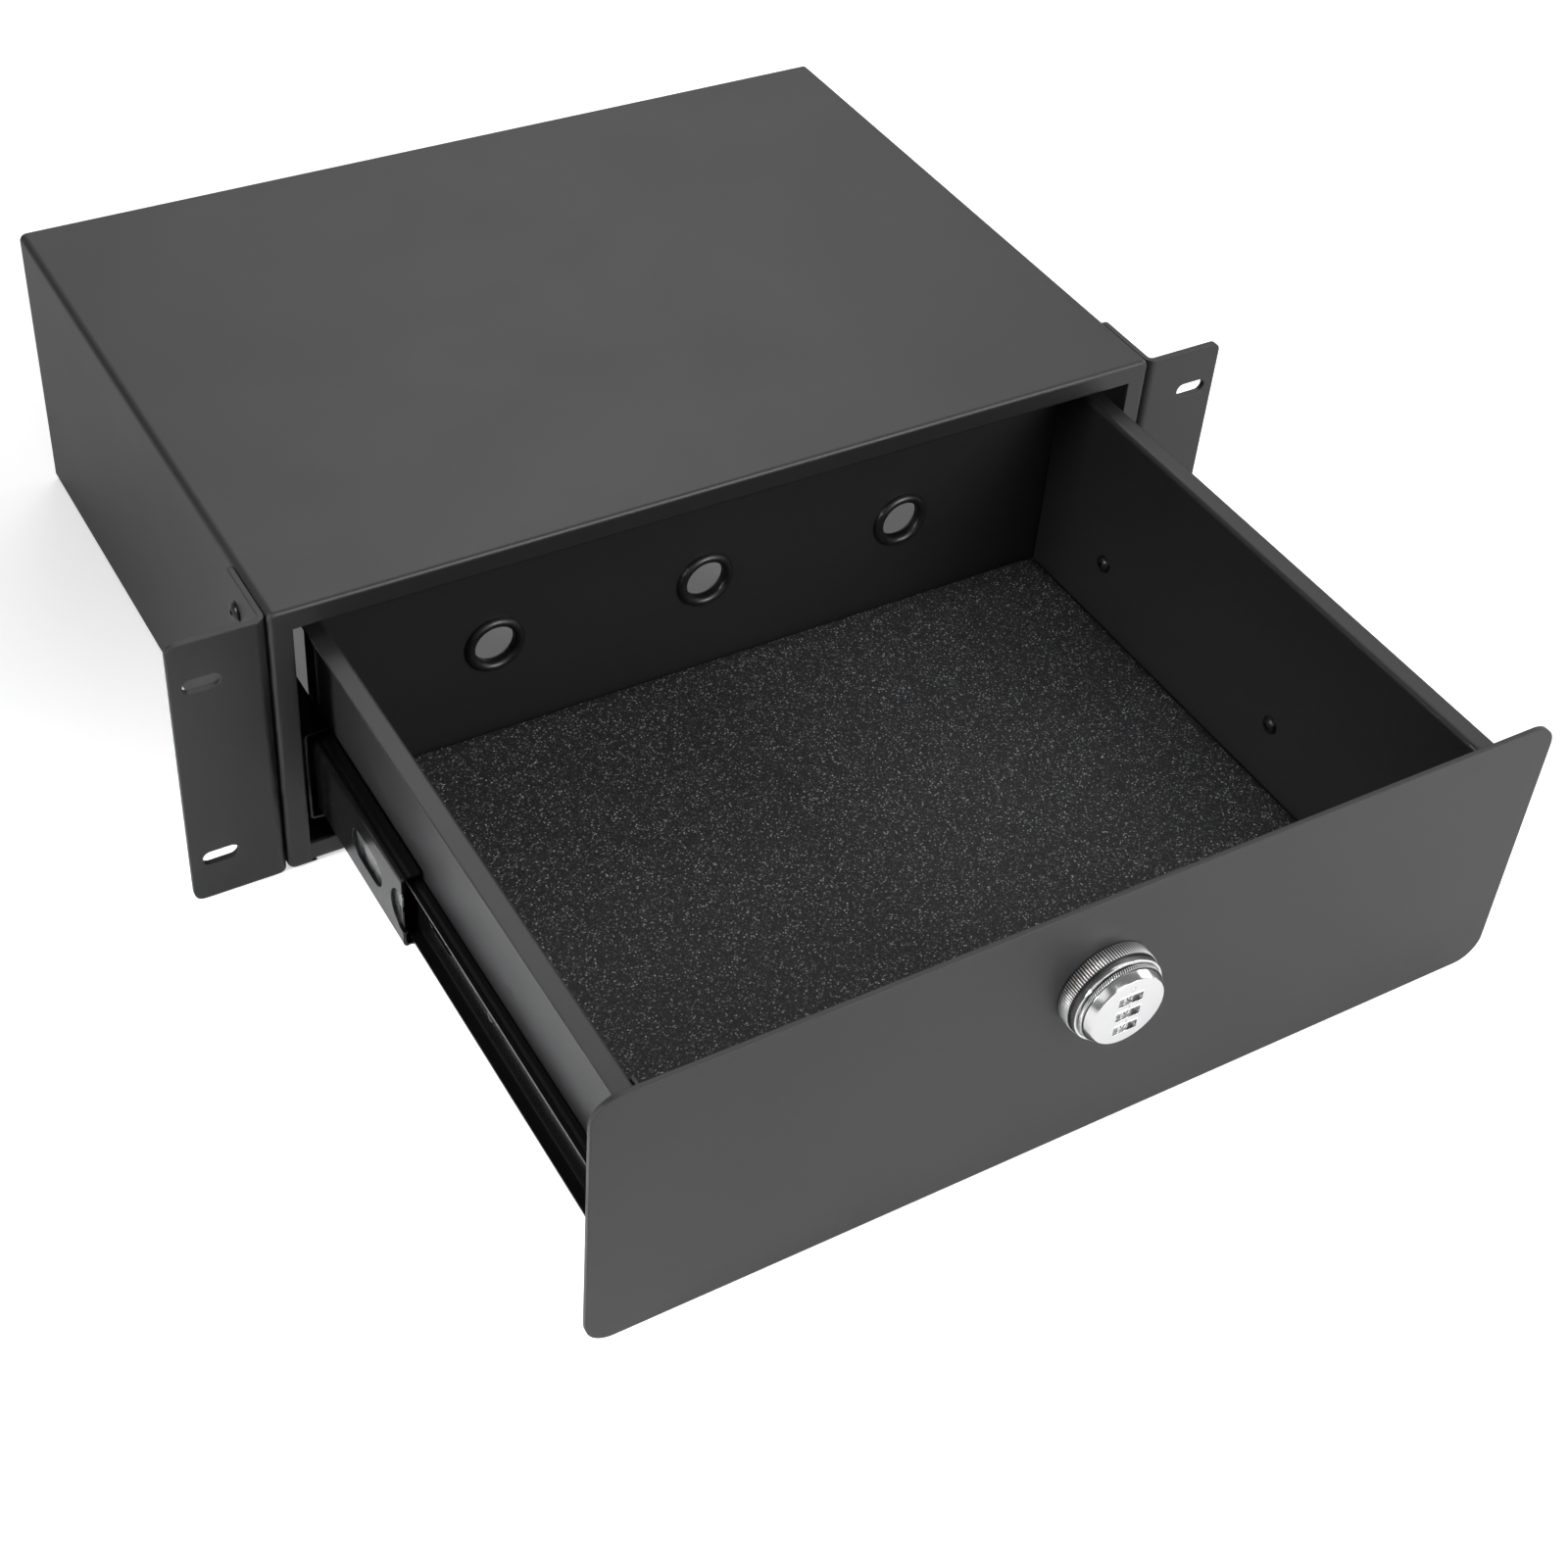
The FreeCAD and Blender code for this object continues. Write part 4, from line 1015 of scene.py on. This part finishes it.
class RACK_OT_stage(Operator):
    """Make the floor, the soft lamps, the white surroundings and the camera"""
    bl_idname = "rack.stage"
    bl_label = "Stage"

    def execute(self, context):
        scene = context.scene
        scene.view_settings.view_transform = "Standard"
        self.floor()
        self.surroundings(scene)
        for name, place, aim, size, power, spread in LAMPS:
            data = bpy.data.lights.new(name, "AREA")
            data.shape = "SQUARE"
            data.size = size
            data.energy = power
            data.spread = math.radians(spread)
            lamp = mesh_object(name, data)
            lamp.location = place
            lamp.rotation_mode = "QUATERNION"
            lamp.rotation_quaternion = (Vector(aim) - Vector(place)).to_track_quat("-Z", "Y")
        data = bpy.data.cameras.new("camera")
        data.lens, data.sensor_width = CAMERA_LENS, 36
        data.shift_y = CAMERA_SHIFT_Y
        data.clip_start, data.clip_end = 0.02, 60
        camera = mesh_object("camera", data)
        turn = Matrix(CAMERA_AXES).transposed()
        camera.matrix_world = Matrix.LocRotScale(CAMERA_PLACE, turn.to_quaternion(), None)
        scene.camera = camera
        return {"FINISHED"}

    @staticmethod
    def floor():
        """A pale floor that reads as white and keeps the shadow, with shade painted into its glow under the
        cabinet.
        """
        build = bmesh.new()
        bmesh.ops.create_grid(build, x_segments=8, y_segments=8, size=8)
        bmesh.ops.translate(build, verts=build.verts, vec=(0, 0, CAD_BOX[0].z - 0.05 * MM))
        floor = built("floor", build)
        material, tree, shader, place = surface("matt_white_floor", linear("#f0f0f0"), 0, 0.9)
        roughen(tree, shader, grain(tree, place, 300 * MM), 0.85, 0.95)
        path = add(tree, "ShaderNodeLightPath").outputs
        mirrored = maths(tree, "MAXIMUM", path["Is Glossy Ray"], path["Is Transmission Ray"])
        seen = maths(tree, "MAXIMUM", path["Is Camera Ray"], times(tree, mirrored, 0.2))
        low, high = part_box("cabinet_shell")
        # Painted shade: under the cabinet the floor's glow is cut by up to 0.45, as the shadow beneath it.
        under = 1.0
        for axis, middle, half in (("X", 0.0, high.x), ("Y", (low.y + high.y) / 2, (high.y - low.y) / 2)):
            along = add(tree, "ShaderNodeSeparateXYZ", {"Vector": place}).outputs[axis]
            off = maths(tree, "ABSOLUTE", maths(tree, "SUBTRACT", along, middle))
            under = times(tree, under, vary(tree, off, 1, 0, half - 45 * MM, half - 10 * MM))
        away = vectors(tree, "LENGTH", {0: place}, "Value")
        far = vary(tree, away, 0.55, 1, 0.9, 3)
        floor_glow_with_painted_shade = maths(tree, "SUBTRACT", far, times(tree, under, 0.45))
        shader.inputs["Emission Color"].default_value = (1, 1, 1, 1)
        tree.links.new(times(tree, seen, floor_glow_with_painted_shade), shader.inputs["Emission Strength"])
        dress(floor, material)

    @staticmethod
    def surroundings(scene):
        """White behind the object, soft boxes with darker gaps between where the chrome and the
        coating mirror it, and an even light on what is matt."""
        world = bpy.data.worlds.new("white_surroundings")
        world.use_nodes = True
        tree = world.node_tree
        sky = tree.nodes["Background"]
        sky.inputs["Color"].default_value = (1, 1, 1, 1)
        path = add(tree, "ShaderNodeLightPath").outputs
        way = add(tree, "ShaderNodeTexCoord").outputs["Generated"]
        mirrored = BETWEEN_BOXES
        for aim, opening in SOFT_BOXES:
            towards = vectors(tree, "DOT_PRODUCT", {0: way, 1: Vector(aim).normalized()}, "Value")
            box = vary(tree, towards, 0, 1, math.cos(opening + SOFT_EDGE), math.cos(opening - SOFT_EDGE))
            mirrored = maths(tree, "MAXIMUM", mirrored, box)
        reflected = maths(tree, "MAXIMUM", path["Is Glossy Ray"], path["Is Transmission Ray"])
        even = vary(tree, path["Is Camera Ray"], 0.4, 1, 0, 1)
        strength = add(tree, "ShaderNodeMix", {0: reflected, 2: even, 3: mirrored})
        tree.links.new(strength.outputs[0], sky.inputs["Strength"])
        scene.world = world


OPERATORS = (RACK_OT_stage, RACK_OT_sheet_metal, RACK_OT_slides, RACK_OT_balls, RACK_OT_fasteners,
             RACK_OT_grommets, RACK_OT_foam_mat, RACK_OT_lock_housing, RACK_OT_lock_knob,
             RACK_OT_code_wheels, RACK_OT_lock_inside)


class RACK_PT_drawer(Panel):
    """The drawer's sizes, colours and pieces in the sidebar"""
    bl_idname = "RACK_PT_drawer"
    bl_label = "Rack Drawer"
    bl_space_type = "VIEW_3D"
    bl_region_type = "UI"
    bl_category = "Rack Drawer"

    def draw(self, context):
        for group in (context.scene.drawer_finishes, context.scene.drawer_sizes):
            column = self.layout.column()
            for key in type(group).__annotations__:
                column.prop(group, key)
        for operator in OPERATORS:
            self.layout.operator(operator.bl_idname)


CLASSES = (DrawerFinishes, DrawerSizes, *OPERATORS, RACK_PT_drawer)


def register():
    for entry in CLASSES:
        bpy.utils.register_class(entry)
    bpy.types.Scene.drawer_finishes = PointerProperty(type=DrawerFinishes)
    bpy.types.Scene.drawer_sizes = PointerProperty(type=DrawerSizes)


def unregister():
    del bpy.types.Scene.drawer_sizes
    del bpy.types.Scene.drawer_finishes
    for entry in reversed(CLASSES):
        bpy.utils.unregister_class(entry)


def main():
    register()
    bpy.ops.rack.stage()
    bpy.ops.rack.sheet_metal()
    bpy.ops.rack.slides()
    bpy.ops.rack.balls()
    bpy.ops.rack.fasteners()
    bpy.ops.rack.grommets()
    bpy.ops.rack.foam_mat()
    bpy.ops.rack.lock_housing()
    bpy.ops.rack.lock_knob()
    bpy.ops.rack.code_wheels()
    bpy.ops.rack.lock_inside()


if __name__ == "__main__":
    main()
